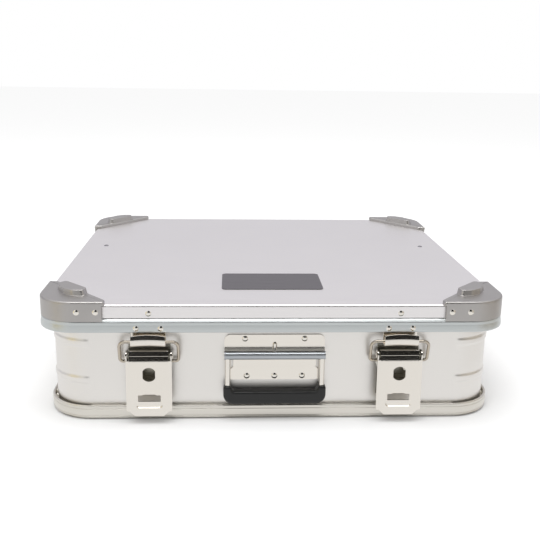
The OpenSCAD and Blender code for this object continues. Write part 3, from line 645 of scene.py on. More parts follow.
@dataclass
class Rivets:
    """Dome rivets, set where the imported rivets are."""

    head_r: float = 3.7 * MM
    head_h: float = 2.2 * MM
    dome_h: float = 1.5 * MM
    dome_steps: int = 9
    rim_share: float = 0.9
    shank_r: float = 2.0 * MM
    shank_gap: float = 0.3 * MM
    tail_r: float = 2.9 * MM
    tail_h: float = 0.7 * MM
    tail_taper: float = 0.9
    sides: int = 28

    def places(self, node: str) -> list[tuple[Vector, Vector, float]]:
        """Finds each rivet of a packed group.

        Args:
            node: the group's name.
        Returns:
            Seat under the head, outward direction and grip length of each.
        """
        bm = solid_copy(node, False)
        left = set(bm.verts)
        found = []
        while left:
            group = {left.pop()}
            edge = list(group)
            while edge:
                near = {e.other_vert(v) for v in edge for e in v.link_edges} - group
                group |= near
                edge = list(near)
            left -= group
            found.append(self.seat([v.co.copy() for v in group]))
        bm.free()
        return found

    def seat(self, points: list[Vector]) -> tuple[Vector, Vector, float]:
        """Works out how one rivet sits.

        Args:
            points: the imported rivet's points.
        Returns:
            Seat under the head, outward direction and grip length.
        """
        low = Vector([min(p[i] for p in points) for i in range(3)])
        high = Vector([max(p[i] for p in points) for i in range(3)])
        span = high - low
        axis = max(range(3), key=lambda i: abs(span[i] - 2 * self.head_r))
        middle = (low + high) / 2
        spread = [(p[axis], (p - middle).length_squared - (p - middle)[axis] ** 2) for p in points]
        rim = [level for level, square in spread if square > (self.rim_share * self.head_r) ** 2]
        level = sum(rim) / len(rim)
        way = 1 if level - low[axis] > high[axis] - level else -1
        outward = Vector([way if i == axis else 0 for i in range(3)])
        middle[axis] = level
        return middle, outward, span[axis] - self.head_h

    def profile(self, grip: float, tail: bool) -> list[Point]:
        """The rivet's half section.

        Args:
            grip: the length of its shank.
            tail: whether it has a set tail.
        Returns:
            Radius and height above the seat, from the dome's middle down.
        """
        dome = (self.head_r ** 2 + self.dome_h ** 2) / (2 * self.dome_h)
        edge = math.degrees(math.asin(self.head_r / dome))
        head = arc((0, self.dome_h - dome), dome, 90, 90 - edge, self.dome_steps)
        end = -grip + (0 if tail else self.shank_gap)
        stem = [(self.shank_r, 0), (self.shank_r, end)]
        if tail:
            tip = end - self.tail_h
            stem += [(self.tail_r, end), (self.tail_r * self.tail_taper, tip), (0, tip)]
        else:
            stem.append((0, end))
        return head + stem

    def turned(self, bm: Mesh, place: Vector, outward: Vector, profile: list[Point]) -> None:
        """Adds one rivet.

        Args:
            bm: the group's mesh.
            place: its seat.
            outward: where its head points.
            profile: its half section, closed by a point at both ends.
        """
        turn = outward.to_track_quat("Z", "Y").to_matrix()
        rows = []
        for radius, height in profile:
            spokes = self.sides if radius > FINE_WELD else 1
            angles = [2 * math.pi * k / self.sides for k in range(spokes)]
            ring = [Vector((radius * math.cos(a), radius * math.sin(a), height)) for a in angles]
            rows.append([bm.verts.new(place + turn @ p) for p in ring])
        for upper, lower in zip(rows, rows[1:]):
            for k in range(self.sides):
                j = (k + 1) % self.sides
                corners = [upper[k % len(upper)], lower[k % len(lower)]]
                corners += [lower[j % len(lower)], upper[j % len(upper)]]
                bm.faces.new(list(dict.fromkeys(corners)))

    def build(self, node: str, body: str, tail: bool = False, finish: Finish = RIVET) -> None:
        """Makes one group of rivets.

        Args:
            node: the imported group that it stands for.
            body: the body that carries it.
            tail: whether the rivets show a set tail inside the wall.
            finish: what they are made of.
        """
        bm = bmesh.new()
        for place, outward, grip in self.places(node):
            self.turned(bm, place, outward, self.profile(grip, tail))
        finish_piece(node.replace("rivets", "rivet_heads"), bm, finish, body, node)


@dataclass
class CaseBody:
    """The sheet body with its pressed corner beads, its base rail, panel and rim."""

    corner_r: float = 52 * MM
    wall_t: float = 2 * MM
    wall_low: float = 10.5 * MM
    wall_top: float = 131 * MM
    bead_depth: float = 1.3 * MM
    bead_h: float = 13 * MM
    bead_levels: Point = (51 * MM, 100 * MM)
    bead_flat: float = 1.6
    bead_steps: int = 14
    lip_out: float = 6.5 * MM
    lip_t: float = 3.5 * MM
    lip_ease: float = 0.4 * MM
    lip_turn: float = 160
    lip_steps: int = 8
    rail_h: float = 19 * MM
    shelf_in: float = 14 * MM
    shelf_low: float = 8 * MM
    leg_t: float = 2.5 * MM
    leg_top: float = 24 * MM
    line_levels: Triple = (3.2 * MM, 5.0 * MM, 14.0 * MM)
    line_depth: float = 0.45 * MM
    line_h: float = 0.9 * MM
    line_notch: float = 0.4
    foot_w: float = 0.2 * MM
    foot_h: float = 3.0 * MM
    seam_h: float = 0.3 * MM
    seam_out: float = 0.4 * MM
    seam_in: float = 0.2 * MM
    seam_drop: float = 0.9
    fold_deg: float = 50

    def bead_swell(self, z: float) -> float:
        """How far the full bead stands out.

        Args:
            z: the height on the wall.
        Returns:
            The distance from the flat wall.
        """
        for level in self.bead_levels:
            far = abs(z - level) / (self.bead_h / 2)
            if far < 1:
                crown = 0.5 + 0.5 * math.cos(math.pi * far)
                return self.bead_depth * min(1.0, self.bead_flat * crown)
        return 0.0

    def wall_section(self, stop: Station) -> list[Point]:
        """The wall's closed section.

        Args:
            stop: the station on the outline.
        Returns:
            Distances out and heights.
        """
        levels = [self.wall_low]
        for middle in self.bead_levels:
            shares = [i / self.bead_steps - 0.5 for i in range(self.bead_steps + 1)]
            levels += [middle + self.bead_h * share for share in shares]
        levels.append(self.wall_top)
        outer = [(self.bead_swell(z) * stop.bead, z) for z in levels]
        inner = [(out - self.wall_t, z) for out, z in reversed(outer)]
        return outer + inner

    def rail_section(self, stop: Station) -> list[Point]:
        """The base rail's closed section: its ribbed lip stands off the wall at the corners only.

        Args:
            stop: the station on the outline.
        Returns:
            Distances out and heights.
        """
        inner = self.lip_out - self.lip_t
        toe = inner + self.foot_w
        section = [(inner, 0), (toe, 0), (toe, self.foot_h), (self.lip_out - self.lip_ease, self.foot_h)]
        for z in self.line_levels:
            notch = (self.lip_out - self.line_depth, z + self.line_h * self.line_notch)
            section += [(self.lip_out, z), notch, (self.lip_out, z + self.line_h)]
        top = (inner + self.lip_t / 2, self.rail_h - self.lip_t / 2)
        section += arc(top, self.lip_t / 2, 0, self.lip_turn, self.lip_steps)
        ledge = self.rail_h - self.seam_h
        seam = ledge - (ledge - self.wall_low) * self.seam_drop * stop.bead
        section += [(self.seam_out + (inner - self.seam_out) * stop.bead, seam), (-self.seam_in, seam)]
        section += [(-self.seam_in, self.wall_low), (-self.wall_t, self.wall_low)]
        leg = -self.wall_t - self.leg_t
        section += [(-self.wall_t, self.leg_top), (leg, self.leg_top), (leg, self.wall_low)]
        shelf = -self.shelf_in
        section += [(shelf, self.wall_low), (shelf, self.shelf_low), (inner, self.shelf_low)]
        return section

    def build(self) -> None:
        """Makes and dresses the body's pieces."""
        body = "case_body"
        packed, outline = WallOutline(), WallOutline(radius=self.corner_r)
        wall = swept_ring(outline, self.wall_section)
        finish_piece("wall", wall, WALL_SHEET, body, "body_shell", sharp_deg=self.fold_deg)
        rail = swept_ring(outline, self.rail_section)
        finish_piece("base_rail_ring", rail, RAIL, body, "base_rail", sharp_deg=self.fold_deg)
        panel = packed.reshape(solid_copy("base_panel"), outline)
        finish_piece("floor_panel", panel, WALL_SHEET, body, "base_panel")
        rim = packed.reshape(solid_copy("body_rim"), outline)
        finish_piece("wall_rim", rim, RAIL, body, "body_rim", Soften.BEVEL, 0.4)


@dataclass
class Casting:
    """One cast corner: a wall round the lid's corner, a plate on top with two legs, and a stacking pad."""

    corner: LidCorner
    half_w: float = 294.6 * MM
    half_d: float = 279.6 * MM
    round_r: float = 47.6 * MM
    round_steps: int = 24
    front_leg: float = 85.5 * MM
    side_leg: float = 98 * MM
    nose: float = 2.5 * MM
    end_w: float = 12 * MM
    tip_radii: tuple[float, ...] = (2.5 * MM, 5 * MM, 4 * MM, 2 * MM)
    wall_t: float = 4.3 * MM
    plate_t: float = 4.9 * MM
    rim_ease: float = 2.6 * MM
    rim_steps: int = 5
    rim_slack: float = 0.1 * MM
    end_ease: float = 1.2 * MM
    end_steps: int = 3
    fold_turn: float = math.radians(50)
    pad_h: float = 7 * MM
    pad_middle: Point = (38.5 * MM, 50 * MM)
    # Each corner of the pad's outline: how far along front and side it lies, and its radius.
    pad_corners_mm: tuple[Triple, ...] = (
        (27, 74, 4), (20, 65, 5), (22, 54, 10), (30, 39, 14), (42, 30, 10), (55.5, 29, 4), (58, 41, 3))
    # Each row from the pad's foot to its top: its share of the outline, and its height above the plate.
    pad_rows_mm: tuple[Point, ...] = (
        (1.14, -0.2), (1.12, 0.1), (1.105, 0.5), (1.095, 1.2), (1.03, 6.1), (1.015, 6.6), (0.995, 6.9),
        (0.965, 7.0))

    @property
    def node(self) -> str:
        """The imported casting."""
        return f"corner_{self.corner.label}"

    def place(self, z: float, along: float, back: float) -> Vector:
        """A place on the casting: its height, then how far from its outer corner along front and side."""
        sign_x, sign_y = self.corner.value
        return Vector(((self.half_w - along) * sign_x, (self.half_d - back) * sign_y, z))

    def bend(self, radius: float, start: float, end: float) -> list[Point]:
        """A quarter turn round the middle of the casting's corner."""
        return arc((self.round_r, self.round_r), radius, start, end, self.round_steps)

    def plate_outline(self) -> list[Point]:
        """The plate's outline.

        Returns:
            Distances from the outer corner, seen from above.
        """
        outer = [(x, y, 0) for x, y in self.bend(self.round_r, 180, 270)]
        along, back, end = self.front_leg, self.side_leg, self.end_w
        tips = [(along, 0), (along, end), (end, back), (0, back)]
        return rounded(outer + [(*tip, radius) for tip, radius in zip(tips, self.tip_radii)])

    def wall_outline(self) -> list[Point]:
        """The wall's outline.

        Returns:
            Distances from the outer corner, seen from above.
        """
        outer = self.bend(self.round_r, 180, 270)
        inner = self.bend(self.round_r - self.wall_t, 270, 180)
        along, back = self.front_leg - self.nose, self.side_leg - self.nose
        return outer + [(along, 0), (along, self.wall_t)] + inner + [(self.wall_t, back), (0, back)]

    def pad(self, bm: Mesh, level: float) -> None:
        """Adds the stacking pad, a rounded wedge cut straight along the plate's diagonal.

        Args:
            bm: the casting's mesh.
            level: the plate's upper face.
        """
        outline = rounded([(x * MM, y * MM, radius * MM) for x, y, radius in self.pad_corners_mm], 5)
        mid_x, mid_y = self.pad_middle
        rows = []
        for size, rise in self.pad_rows_mm:
            ring = [(mid_x + (x - mid_x) * size, mid_y + (y - mid_y) * size) for x, y in outline]
            rows.append([bm.verts.new(self.place(level + rise * MM, x, y)) for x, y in ring])
        for row, ahead in zip(rows, rows[1:]):
            bridge(bm, row, ahead)
        bm.faces.new(rows[0])
        bm.faces.new(rows[-1])

    def mesh(self) -> Mesh:
        """Makes the casting, with its rims and ends rounded.

        Returns:
            Its mesh.
        """
        low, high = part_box(self.node)
        level = high.z - self.pad_h
        under = level - self.plate_t
        bm = bmesh.new()
        bar(bm, [self.plate_outline()], under, level, self.place)
        bar(bm, [self.wall_outline()], low.z, under, self.place)
        join_flats(bm)
        edges = folds(bm, self.fold_turn)
        ends = [e for e in edges if abs(e.verts[0].co.z - e.verts[1].co.z) > 2 * self.plate_t]
        rim = [e for e in edges if all(abs(v.co.z - level) < self.rim_slack for v in e.verts)]
        round_edges(bm, ends, self.end_ease, self.end_steps)
        round_edges(bm, [e for e in rim if e.is_valid], self.rim_ease, self.rim_steps)
        self.pad(bm, level)
        return bm

    def build(self) -> None:
        """Makes and dresses the casting."""
        finish_piece(f"cast_{self.node}", self.mesh(), CAST, "lid", self.node)


@dataclass
class Lid:
    """The lid: folded sheet, rolled skirt, seal, plate and cast corners."""

    lean: float = 0.8 * MM
    lean_from: float = 10 * MM
    lean_top: float = 127.4 * MM
    lean_h: float = 8.2 * MM
    skirt_rows: int = 6
    shoulder_rows: int = 14
    shoulder_out: float = 5 * MM
    shoulder_r: float = 8 * MM
    shoulder_h: float = 5.8 * MM
    shoulder_tilt: float = math.radians(41)
    shoulder_blend: float = 0.12 * MM
    shoulder_slack: float = 0.4 * MM

    def plain_arc(self, rise: float) -> float:
        """How far out the shoulder's plain arc lies at a height above its middle."""
        return self.shoulder_out + math.sqrt(max(0.0, self.shoulder_r ** 2 - rise ** 2))

    def shoulder_shift(self, rise: float) -> float:
        """How far the shoulder's slope stands out from its plain arc.

        Args:
            rise: the height above the arc's middle.
        Returns:
            The distance, which is blended into the leaning face below.
        """
        slope = self.plain_arc(self.shoulder_h) + (self.shoulder_h - rise) * math.tan(self.shoulder_tilt)
        face = self.shoulder_out + self.shoulder_r - self.lean / 2
        round_off = math.sqrt((slope - face) ** 2 + 4 * self.shoulder_blend ** 2)
        return (slope + face - round_off) / 2 - self.plain_arc(rise)

    def skirt(self) -> Mesh:
        """The skirt ring, whose outer wall leans back to a shoulder with one steep slope.

        Returns:
            Its mesh.
        """
        bm = solid_copy("lid_frame", False)
        outline = WallOutline()
        levels = [-self.lean_h * row / self.skirt_rows for row in range(1, self.skirt_rows)]
        levels += [self.shoulder_h * row / self.shoulder_rows for row in range(self.shoulder_rows)]
        up = Vector((0, 0, 1))
        for level in levels:
            whole = bm.verts[:] + bm.edges[:] + bm.faces[:]
            cut = up * (self.lean_top + level)
            bmesh.ops.bisect_plane(bm, geom=whole, dist=WELD, plane_co=cut, plane_no=up)
        for vert in bm.verts:
            normal, out = outline.outward(vert.co)
            rise = vert.co.z - self.lean_top
            on_arc = abs(out - self.plain_arc(rise)) < self.shoulder_slack
            if 0 < rise <= self.shoulder_h and on_arc:
                vert.co += normal * self.shoulder_shift(rise)
            elif out > self.lean_from and rise <= 0:
                part = min(1.0, -rise / self.lean_h)
                vert.co += normal * (self.lean * (part * (2 - part) - 0.5))
        return bm

    def build(self) -> None:
        """Makes and dresses the lid's pieces."""
        finish_copy("lid_panel", "lid_sheet", LID_SHEET, "lid")
        finish_piece("lid_skirt", self.skirt(), SKIRT, "lid", "lid_frame")
        finish_copy("lid_seal", "lid_gasket", RUBBER, "lid", True, Soften.BEVEL, 0.5)
        finish_copy("bare_plate", "lid_plate", ANODISED, "lid", True, Soften.BEVEL, 0.25)
        for corner in LidCorner:
            Casting(corner).build()


@dataclass
class DrawLatch:
    """One draw latch: base plate, pin, pressed lever, wire bail, and the hook on the lid."""

    side: Side
    tilt: float = math.radians(2.6)
    half_w: float = 28.25 * MM
    face_out: float = 7.5 * MM
    face_top: float = -4.4 * MM
    face_low: float = -76 * MM
    sheet_t: float = 1.5 * MM
    tab_h: float = 7 * MM
    tab_half_w: float = 18 * MM
    tab_step: float = 1.2 * MM
    tab_ease: float = 1.2 * MM
    shoulder_w: float = 4 * MM
    panel_half_w: float = 16.5 * MM
    panel_top: float = -10.5 * MM
    panel_low: float = -65.5 * MM
    panel_slope: float = 1.0 * MM
    panel_ramp: float = 0.9 * MM
    panel_radii: Point = (2.5 * MM, 4.0 * MM)
    panel_depths: Point = (0.35 * MM, 1.8 * MM)
    panel_curve: int = 3
    panel_flare: float = 1.1
    lock_r: float = 9 * MM
    lock_half_w: float = 7.7 * MM
    lock_z: float = -22 * MM
    lock_steps: int = 14
    slot_half_l: float = 14 * MM
    slot_half_h: float = 4.25 * MM
    slot_z: float = -53.2 * MM
    slot_rise: float = 1.0 * MM
    slot_ease: float = 0.8 * MM
    slot_crown: Point = (0.5, 0.64)
    roll_half_w: float = 24.3 * MM
    roll_t: float = 1.2 * MM
    roll_lap: float = 1.2 * MM
    roll_lean: float = math.tan(math.radians(24))
    roll_step: float = 0.9 * MM
    roll_top: float = 6.2 * MM
    roll_sag: float = 0.4 * MM
    ridge_out: float = 0.55 * MM
    ridge_levels: Point = (0.35 * MM, 0.8 * MM)
    crest_r: float = 1.2 * MM
    crest_w: float = 4.5 * MM
    crest_under: float = 0.1 * MM
    ear_r: float = 7.4 * MM
    ear_foot: Point = (0.8 * MM, -14 * MM)
    bail_ear_r: float = 4.4 * MM
    pin_r: float = 2.6 * MM
    wire_r: float = 2.05 * MM
    hook_r: float = 7.5 * MM
    hook_t: float = 1.5 * MM
    hook_bend: float = 114.0
    hook_steps: int = 22
    hook_stops: int = 13
    lip_l: float = 4.2 * MM
    lip_crown: float = 1.2 * MM
    lip_arch: float = 0.9 * MM

    @property
    def hook(self) -> str:
        """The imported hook."""
        return f"hook_{self.side.label}"

    def joint(self, name: str) -> Vector:
        """Where a joint of this side lies at rest."""
        return joint_place(f"{name}_{self.side.label}")

    def local(self, x: float, out: float, z: float) -> Vector:
        """A place on the lever, from its pivot: across, outwards, up."""
        return self.joint("lever") + Matrix.Rotation(-self.tilt, 3, "X") @ Vector((x, -out, z))

    def panel_sink(self, z: float) -> float:
        """How deep the pressed panel is.

        Args:
            z: the height from the pivot.
        Returns:
            The depth under the lever's face.
        """
        part = (self.panel_top - z) / (self.panel_top - self.panel_low)
        shallow, deep = self.panel_depths
        return shallow + (deep - shallow) * part ** self.panel_curve

    def face_outline(self) -> list[Point]:
        """The lever's outline.

        Returns:
            Points across and up from the pivot, seen from the front.
        """
        half, low, ease = self.half_w, self.face_low, self.tab_ease
        step = low + self.tab_h - self.tab_step
        right = [(half, self.face_top, 0), (half, low + self.tab_h, ease)]
        right += [(half - self.shoulder_w, step, ease), (self.tab_half_w, low, ease)]
        return rounded(right + mirrored(right), 4)

    def panel_outline(self, inset: float, foot: float) -> list[Point]:
        """The pressed panel's outline.

        Args:
            inset: how far it is drawn in at its sides.
            foot: how far it is drawn in at its foot.
        Returns:
            Points across and up from the pivot.
        """
        half = self.panel_half_w - inset
        levels = (self.panel_top - inset, self.panel_low + foot)
        right = [(half, z, radius - inset) for z, radius in zip(levels, self.panel_radii)]
        return rounded(right + mirrored(right))

    def lock_outline(self) -> list[Point]:
        """The double-D lock hole.

        Returns:
            Points across and up from the pivot.
        """
        flat = math.degrees(math.acos(self.lock_half_w / self.lock_r))
        upper = arc((0, self.lock_z), self.lock_r, flat, 180 - flat, self.lock_steps)
        return upper + arc((0, self.lock_z), self.lock_r, 180 + flat, 360 - flat, self.lock_steps)

    def slot_outline(self) -> list[Point]:
        """The padlock slot, with the raised middle of its upper edge.

        Returns:
            Points across and up from the pivot.
        """
        half, high, ease = self.slot_half_l, self.slot_half_h, self.slot_ease
        crown, foot = self.slot_crown
        right = [(half * crown, high + self.slot_rise, ease), (half * foot, high, ease)]
        right += [(half, high, ease), (half, -high, ease)]
        return [(x, z + self.slot_z) for x, z in rounded(right + mirrored(right), 4)]

    def lever_face(self) -> Mesh:
        """The lever's pressed front plate, with its panel, lock hole and slot.

        Returns:
            Its mesh.
        """
        bm = bmesh.new()
        rim = self.panel_outline(0, 0)
        floor = self.panel_outline(self.panel_slope, self.panel_ramp)

        def flat(p: Point) -> Vector:
            """A point on the lever's face."""
            return self.local(p[0], self.face_out, p[1])

        def sunk(p: Point) -> Vector:
            """A point on the panel's floor, which narrows where it is deep.

            Args:
                p: the point across and up from the pivot.
            Returns:
                Its place.
            """
            sink = self.panel_sink(p[1])
            half = self.panel_half_w - max(self.panel_slope, sink * self.panel_flare)
            return self.local(max(-half, min(half, p[0])), self.face_out - sink, p[1])

        fill(bm, [[flat(p) for p in loop] for loop in (self.face_outline(), rim)])
        fill(bm, [[sunk(p) for p in loop] for loop in (floor, self.lock_outline(), self.slot_outline())])
        bridge(bm, [bm.verts.new(flat(p)) for p in rim], [bm.verts.new(sunk(p)) for p in floor])
        thicken(bm, self.local(0, -self.sheet_t, 0) - self.local(0, 0, 0))
        return bm

    def lever_roll(self) -> list[Point]:
        """Section of the sheet that leans back over the pivot in two slopes.

        Returns:
            Points outwards and up from the pivot.
        """
        step_z, top_z = self.roll_step, self.roll_top
        step = self.face_out - (step_z - self.face_top) * self.roll_lean
        ridge = step + self.ridge_out
        top = ridge - (top_z - step_z) * self.roll_lean
        outer = [(self.face_out, self.face_top - self.roll_lap), (self.face_out, self.face_top)]
        outer += [(step, step_z)] + [(ridge, step_z + rise) for rise in self.ridge_levels] + [(top, top_z)]
        inner = [(out - self.roll_t, z - self.roll_sag) for out, z in outer]
        inner.append((top - self.crest_w, top_z - self.crest_under))
        outer += arc((top - self.crest_r, top_z), self.crest_r, 20, 90, 5)
        outer.append((top - self.crest_w, top_z + self.crest_r))
        return outer + list(reversed(inner))

    def ear(self) -> list[list[Point]]:
        """An ear of the lever, which carries pin and bail.

        Returns:
            Its outline and its two bores: outwards and up from the pivot.
        """
        turned = Matrix.Rotation(self.tilt, 3, "X") @ (self.joint("bail") - self.joint("lever"))
        at = (-turned.y, turned.z)
        rim = arc((0, 0), self.ear_r, -25, 190, 18)
        rim += arc(at, self.bail_ear_r, 195, 300, 8)
        rim.append((self.face_out - self.ear_foot[0], self.ear_foot[1]))
        return [rim, circle((0, 0), self.pin_r), circle(at, self.wire_r)]

    def build_lever(self) -> None:
        """Makes and dresses the lever."""
        label = self.side.label
        bm = self.lever_face()
        bar(bm, [self.lever_roll()], -self.roll_half_w, self.roll_half_w, self.local)
        for low in (-self.half_w, self.half_w - self.sheet_t):
            bar(bm, self.ear(), low, low + self.sheet_t, self.local)
        finish_piece(
            f"pressed_lever_{label}", bm, STAINLESS, f"lever_{label}", f"latch_lever_{label}",
            Soften.BEVEL, 0.25,
        )

    def hook_section(self, across: float, top: float) -> list[Point]:
        """The hook's closed section.

        Args:
            across: the place across it, from -1 to 1.
            top: how high its strap reaches above the ring's middle.
        Returns:
            Points outwards from the ring's middle, and up.
        """
        crown = 1 - across ** 2
        rise = self.lip_l + self.lip_crown * crown
        lean = math.radians(self.hook_bend - 90)
        sides = []
        for radius in (self.hook_r, self.hook_r - self.hook_t):
            ring = arc((0, 0), radius, 180, 270 + self.hook_bend, self.hook_steps)
            bend = [(out, z + self.lip_arch * crown) for out, z in ring]
            lip = (bend[-1][0] - rise * math.sin(lean), bend[-1][1] + rise * math.cos(lean))
            sides.append([(-radius, top)] + bend + [lip])
        return sides[0] + list(reversed(sides[1]))

    def build_hook(self) -> None:
        """Makes and dresses the hook, whose lip is crowned in the middle."""
        low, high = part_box(self.hook)
        middle = Vector(((low.x + high.x) / 2, low.y + self.hook_r, low.z + self.hook_r))
        bm = bmesh.new()
        rows = []
        for i in range(self.hook_stops):
            across = 2 * i / (self.hook_stops - 1) - 1
            x = middle.x + across * (high.x - low.x) / 2
            section = self.hook_section(across, high.z - middle.z)
            rows.append([bm.verts.new((x, middle.y - out, middle.z + z)) for out, z in section])
        for row, ahead in zip(rows, rows[1:]):
            bridge(bm, row, ahead)
        count = len(rows[0])
        for row in (rows[0], rows[-1]):
            for k in range(count // 2 - 1):
                bm.faces.new((row[k], row[k + 1], row[count - 2 - k], row[count - 1 - k]))
        finish_piece(
            f"rolled_{self.hook}", bm, STAINLESS, "lid", self.hook, Soften.BEVEL, 0.3, 50,
        )

    def build(self) -> None:
        """Makes and dresses the latch."""
        label = self.side.label
        self.build_lever()
        self.build_hook()
        finish_copy(f"wire_bail_{label}", f"latch_bail_{label}", WIRE, f"bail_{label}", sharp_deg=60)
        # The back plates wear painted shade: steel darkened to stand for the shade behind the lever.
        finish_copy(
            f"latch_back_{label}", f"latch_base_{label}", DULL_STEEL, "case_body", join=False,
            soften=Soften.BEVEL, ease_mm=0.25,
        )
        finish_copy(f"lever_pin_{label}", f"latch_pin_{label}", RIVET, "case_body", soften=Soften.BEVEL)


@dataclass
class DropHandle:
    """The drop handle: plates, rolled tube, bent rod, vinyl grip and return springs."""

    grip_half_w: float = 64.5 * MM
    grip_side_w: float = 10.2 * MM
    grip_low: float = -63 * MM
    grip_bar_h: float = 17 * MM
    grip_top: float = -39 * MM
    grip_depth: float = 14 * MM
    grip_radii: Point = (5 * MM, 12 * MM)
    grip_ease: float = 3.2 * MM
    grip_cell_mm: float = 0.8
    grip_fold: float = math.radians(60)
    plate_t: float = 2 * MM
    plate_round: float = 7.5 * MM
    plate_cut: float = 4 * MM
    plate_radii: Point = (0.6 * MM, 0.4 * MM)
    flange_out: float = 3.7 * MM
    flange_z: float = 90.2 * MM
    flange_t: float = 1.2 * MM
    flange_rise: float = 1.4 * MM
    stop_r: float = 2.8 * MM
    stop_l: float = 5.6 * MM
    stop_drop: float = 12.4 * MM
    fold_rise: float = 17.7 * MM
    web_half_w: float = 52 * MM
    web_out: float = 3.4 * MM
    web_t: float = 1.2 * MM
    web_lap: float = 0.6 * MM
    web_step: float = 3.6 * MM
    web_drop: float = 5.4 * MM
    knuckle_x: float = 39 * MM
    knuckle_half_w: float = 9 * MM
    knuckle_r: float = 3.4 * MM
    bore_r: float = 2.6 * MM

    def pivot(self) -> Vector:
        """The handle's pivot."""
        return joint_place("handle_swing")

    def grip(self) -> Mesh:
        """The grip: a U of vinyl round the rod, before its skin is eased.

        Returns:
            Its mesh.
        """
        half, inner = self.grip_half_w, self.grip_half_w - self.grip_side_w
        inner_r, outer_r = self.grip_radii
        right = [(inner, self.grip_low + self.grip_bar_h, inner_r), (inner, self.grip_top, 0)]
        right += [(half, self.grip_top, 0), (half, self.grip_low, outer_r)]
        bm = bmesh.new()
        pivot = self.pivot()

        def to_world(depth: float, x: float, z: float) -> Vector:
            """A place on the grip: behind its front, across, up."""
            return pivot + Vector((x, depth, z))

        outline = rounded(mirrored(right) + right, 10)
        bar(bm, [outline], -self.grip_depth / 2, self.grip_depth / 2, to_world)
        bmesh.ops.remove_doubles(bm, verts=bm.verts, dist=WELD)
        join_flats(bm)
        round_edges(bm, folds(bm, self.grip_fold), self.grip_ease, 4)
        return bm

    def upper_plate(self) -> Mesh:
        """The upper plate, with a flange over the tube and a small stop in its middle.

        Returns:
            Its mesh.
        """
        low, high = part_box("handle_upper_plate")
        ease = self.plate_round
        corners = [(high.x, high.z, ease), (low.x, high.z, ease), (low.x, low.z, 0), (high.x, low.z, 0)]
        bm = bmesh.new()
        bar(bm, [rounded(corners, 8)], 0, self.plate_t, before_wall)
        front = [(self.plate_t, low.z + self.flange_rise), (self.flange_out, self.flange_z)]
        strip = front + [(out - self.flange_t, z) for out, z in reversed(front)]
        bar(bm, [strip], low.x, high.x, along_wall)
        stop = bmesh.ops.create_uvsphere(bm, u_segments=16, v_segments=12, radius=self.stop_r)["verts"]
        for vert in stop:
            lift = high.z - self.stop_drop - (self.stop_l if vert.co.z < 0 else 0)
            vert.co += before_wall(self.plate_t, 0, lift)
        return bm

    def hinge_plate(self) -> Mesh:
        """The lower plate, with its slanted web up to the tube and two knuckles on the pin.

        Returns:
            Its mesh.
        """
        low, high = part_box("handle_hinge_plate")
        pivot = self.pivot()
        half, cut = high.x, self.plate_cut
        foot_r, cut_r = self.plate_radii
        fold = low.z + self.fold_rise
        right = [(half, low.z, foot_r), (half, fold - cut, cut_r), (half - cut, fold, cut_r)]
        bm = bmesh.new()
        bar(bm, [rounded(right + mirrored(right), 4)], 0, self.plate_t, before_wall)
        front, back = self.web_out, self.web_out - self.web_t
        step, head = fold + self.web_step, pivot.z - self.web_drop
        web = [(self.plate_t, fold - self.web_lap), (front, step), (front, head)]
        web += [(back, head), (back, step), (self.web_lap, fold)]
        bar(bm, [web], -self.web_half_w, self.web_half_w, along_wall)
        centre = (WallOutline().front - pivot.y, pivot.z)
        eye = [circle(centre, self.knuckle_r), circle(centre, self.bore_r)]
        for side in Side:
            middle = side.value * self.knuckle_x
            bar(bm, eye, middle - self.knuckle_half_w, middle + self.knuckle_half_w, along_wall)
        return bm

    def build(self) -> None:
        """Makes and dresses the handle's pieces."""
        body, slot = "case_body", "stainless"
        finish_piece(
            "vinyl_grip", self.grip(), VINYL, "handle", "handle_grip", Soften.CAST, self.grip_cell_mm,
        )
        finish_copy("bent_rod", "handle_bar", STAINLESS, "handle", sharp_deg=50)
        finish_copy("rolled_tube", "handle_tube", ZINC, "handle", join=False)
        upper, lower = self.upper_plate(), self.hinge_plate()
        finish_piece("upper_plate", upper, STAINLESS, body, "handle_upper_plate", Soften.BEVEL, 0.3)
        finish_piece("hinge_plate", lower, STAINLESS, body, "handle_hinge_plate", Soften.BEVEL, 0.25)
        finish_copy("handle_axle", "handle_pin", WIRE, body)
        for side in Side:
            node = f"handle_spring_{side.label}"
            finish_copy(f"return_{node}", node, SPRING, body, sharp_deg=70)


@dataclass
class RearHinges:
    """The two rear hinges: body leaves, lid leaves and pins."""

    leaf_ease_mm: float = 0.3
    pin_ease_mm: float = 0.4

    def build(self) -> None:
        """Makes and dresses the hinges."""
        for side in Side:
            for place, body in (("body", "case_body"), ("lid", "lid")):
                node = f"hinge_{place}_leaf_{side.label}"
                finish_copy(
                    f"folded_{node}", node, STAINLESS, body, join=False,
                    soften=Soften.BEVEL, ease_mm=self.leaf_ease_mm,
                )
            node = f"hinge_pin_{side.label}"
            finish_copy(
                f"steel_{node}", node, WIRE, "case_body", soften=Soften.BEVEL, ease_mm=self.pin_ease_mm,
            )


@dataclass
class StrapAnchors:
    """The slotted anchors inside lid and body."""

    ease_mm: float = 0.25

    def build(self) -> None:
        """Makes and dresses the anchors."""
        for side in Side:
            for place, body in (("lid", "lid"), ("body", "case_body")):
                node = f"strap_anchor_{place}_{side.label}"
                finish_copy(
                    f"slotted_{node}", node, STAINLESS, body, join=False,
                    soften=Soften.BEVEL, ease_mm=self.ease_mm,
                )


# Stage


@dataclass(frozen=True)
class Card:
    """A painted reflection: an upright matt card that only metal shows, with its colour, its two feet and its
    two heights.
    """

    name: str
    colour: str
    start: Point
    end: Point
    low: float
    top: float

    def corners(self) -> list[Vector]:
        """The card's four corners, in order."""
        ends = ((self.start, self.low), (self.end, self.low), (self.end, self.top), (self.start, self.top))
        return [Vector((*foot, z)) for foot, z in ends]


@dataclass(frozen=True)
class SoftBox:
    """A square lamp that faces the case: where it hangs, its width, its power, and whether metal shows it."""

    name: str
    at: Triple
    size: float
    watts: float
    mirrored: bool


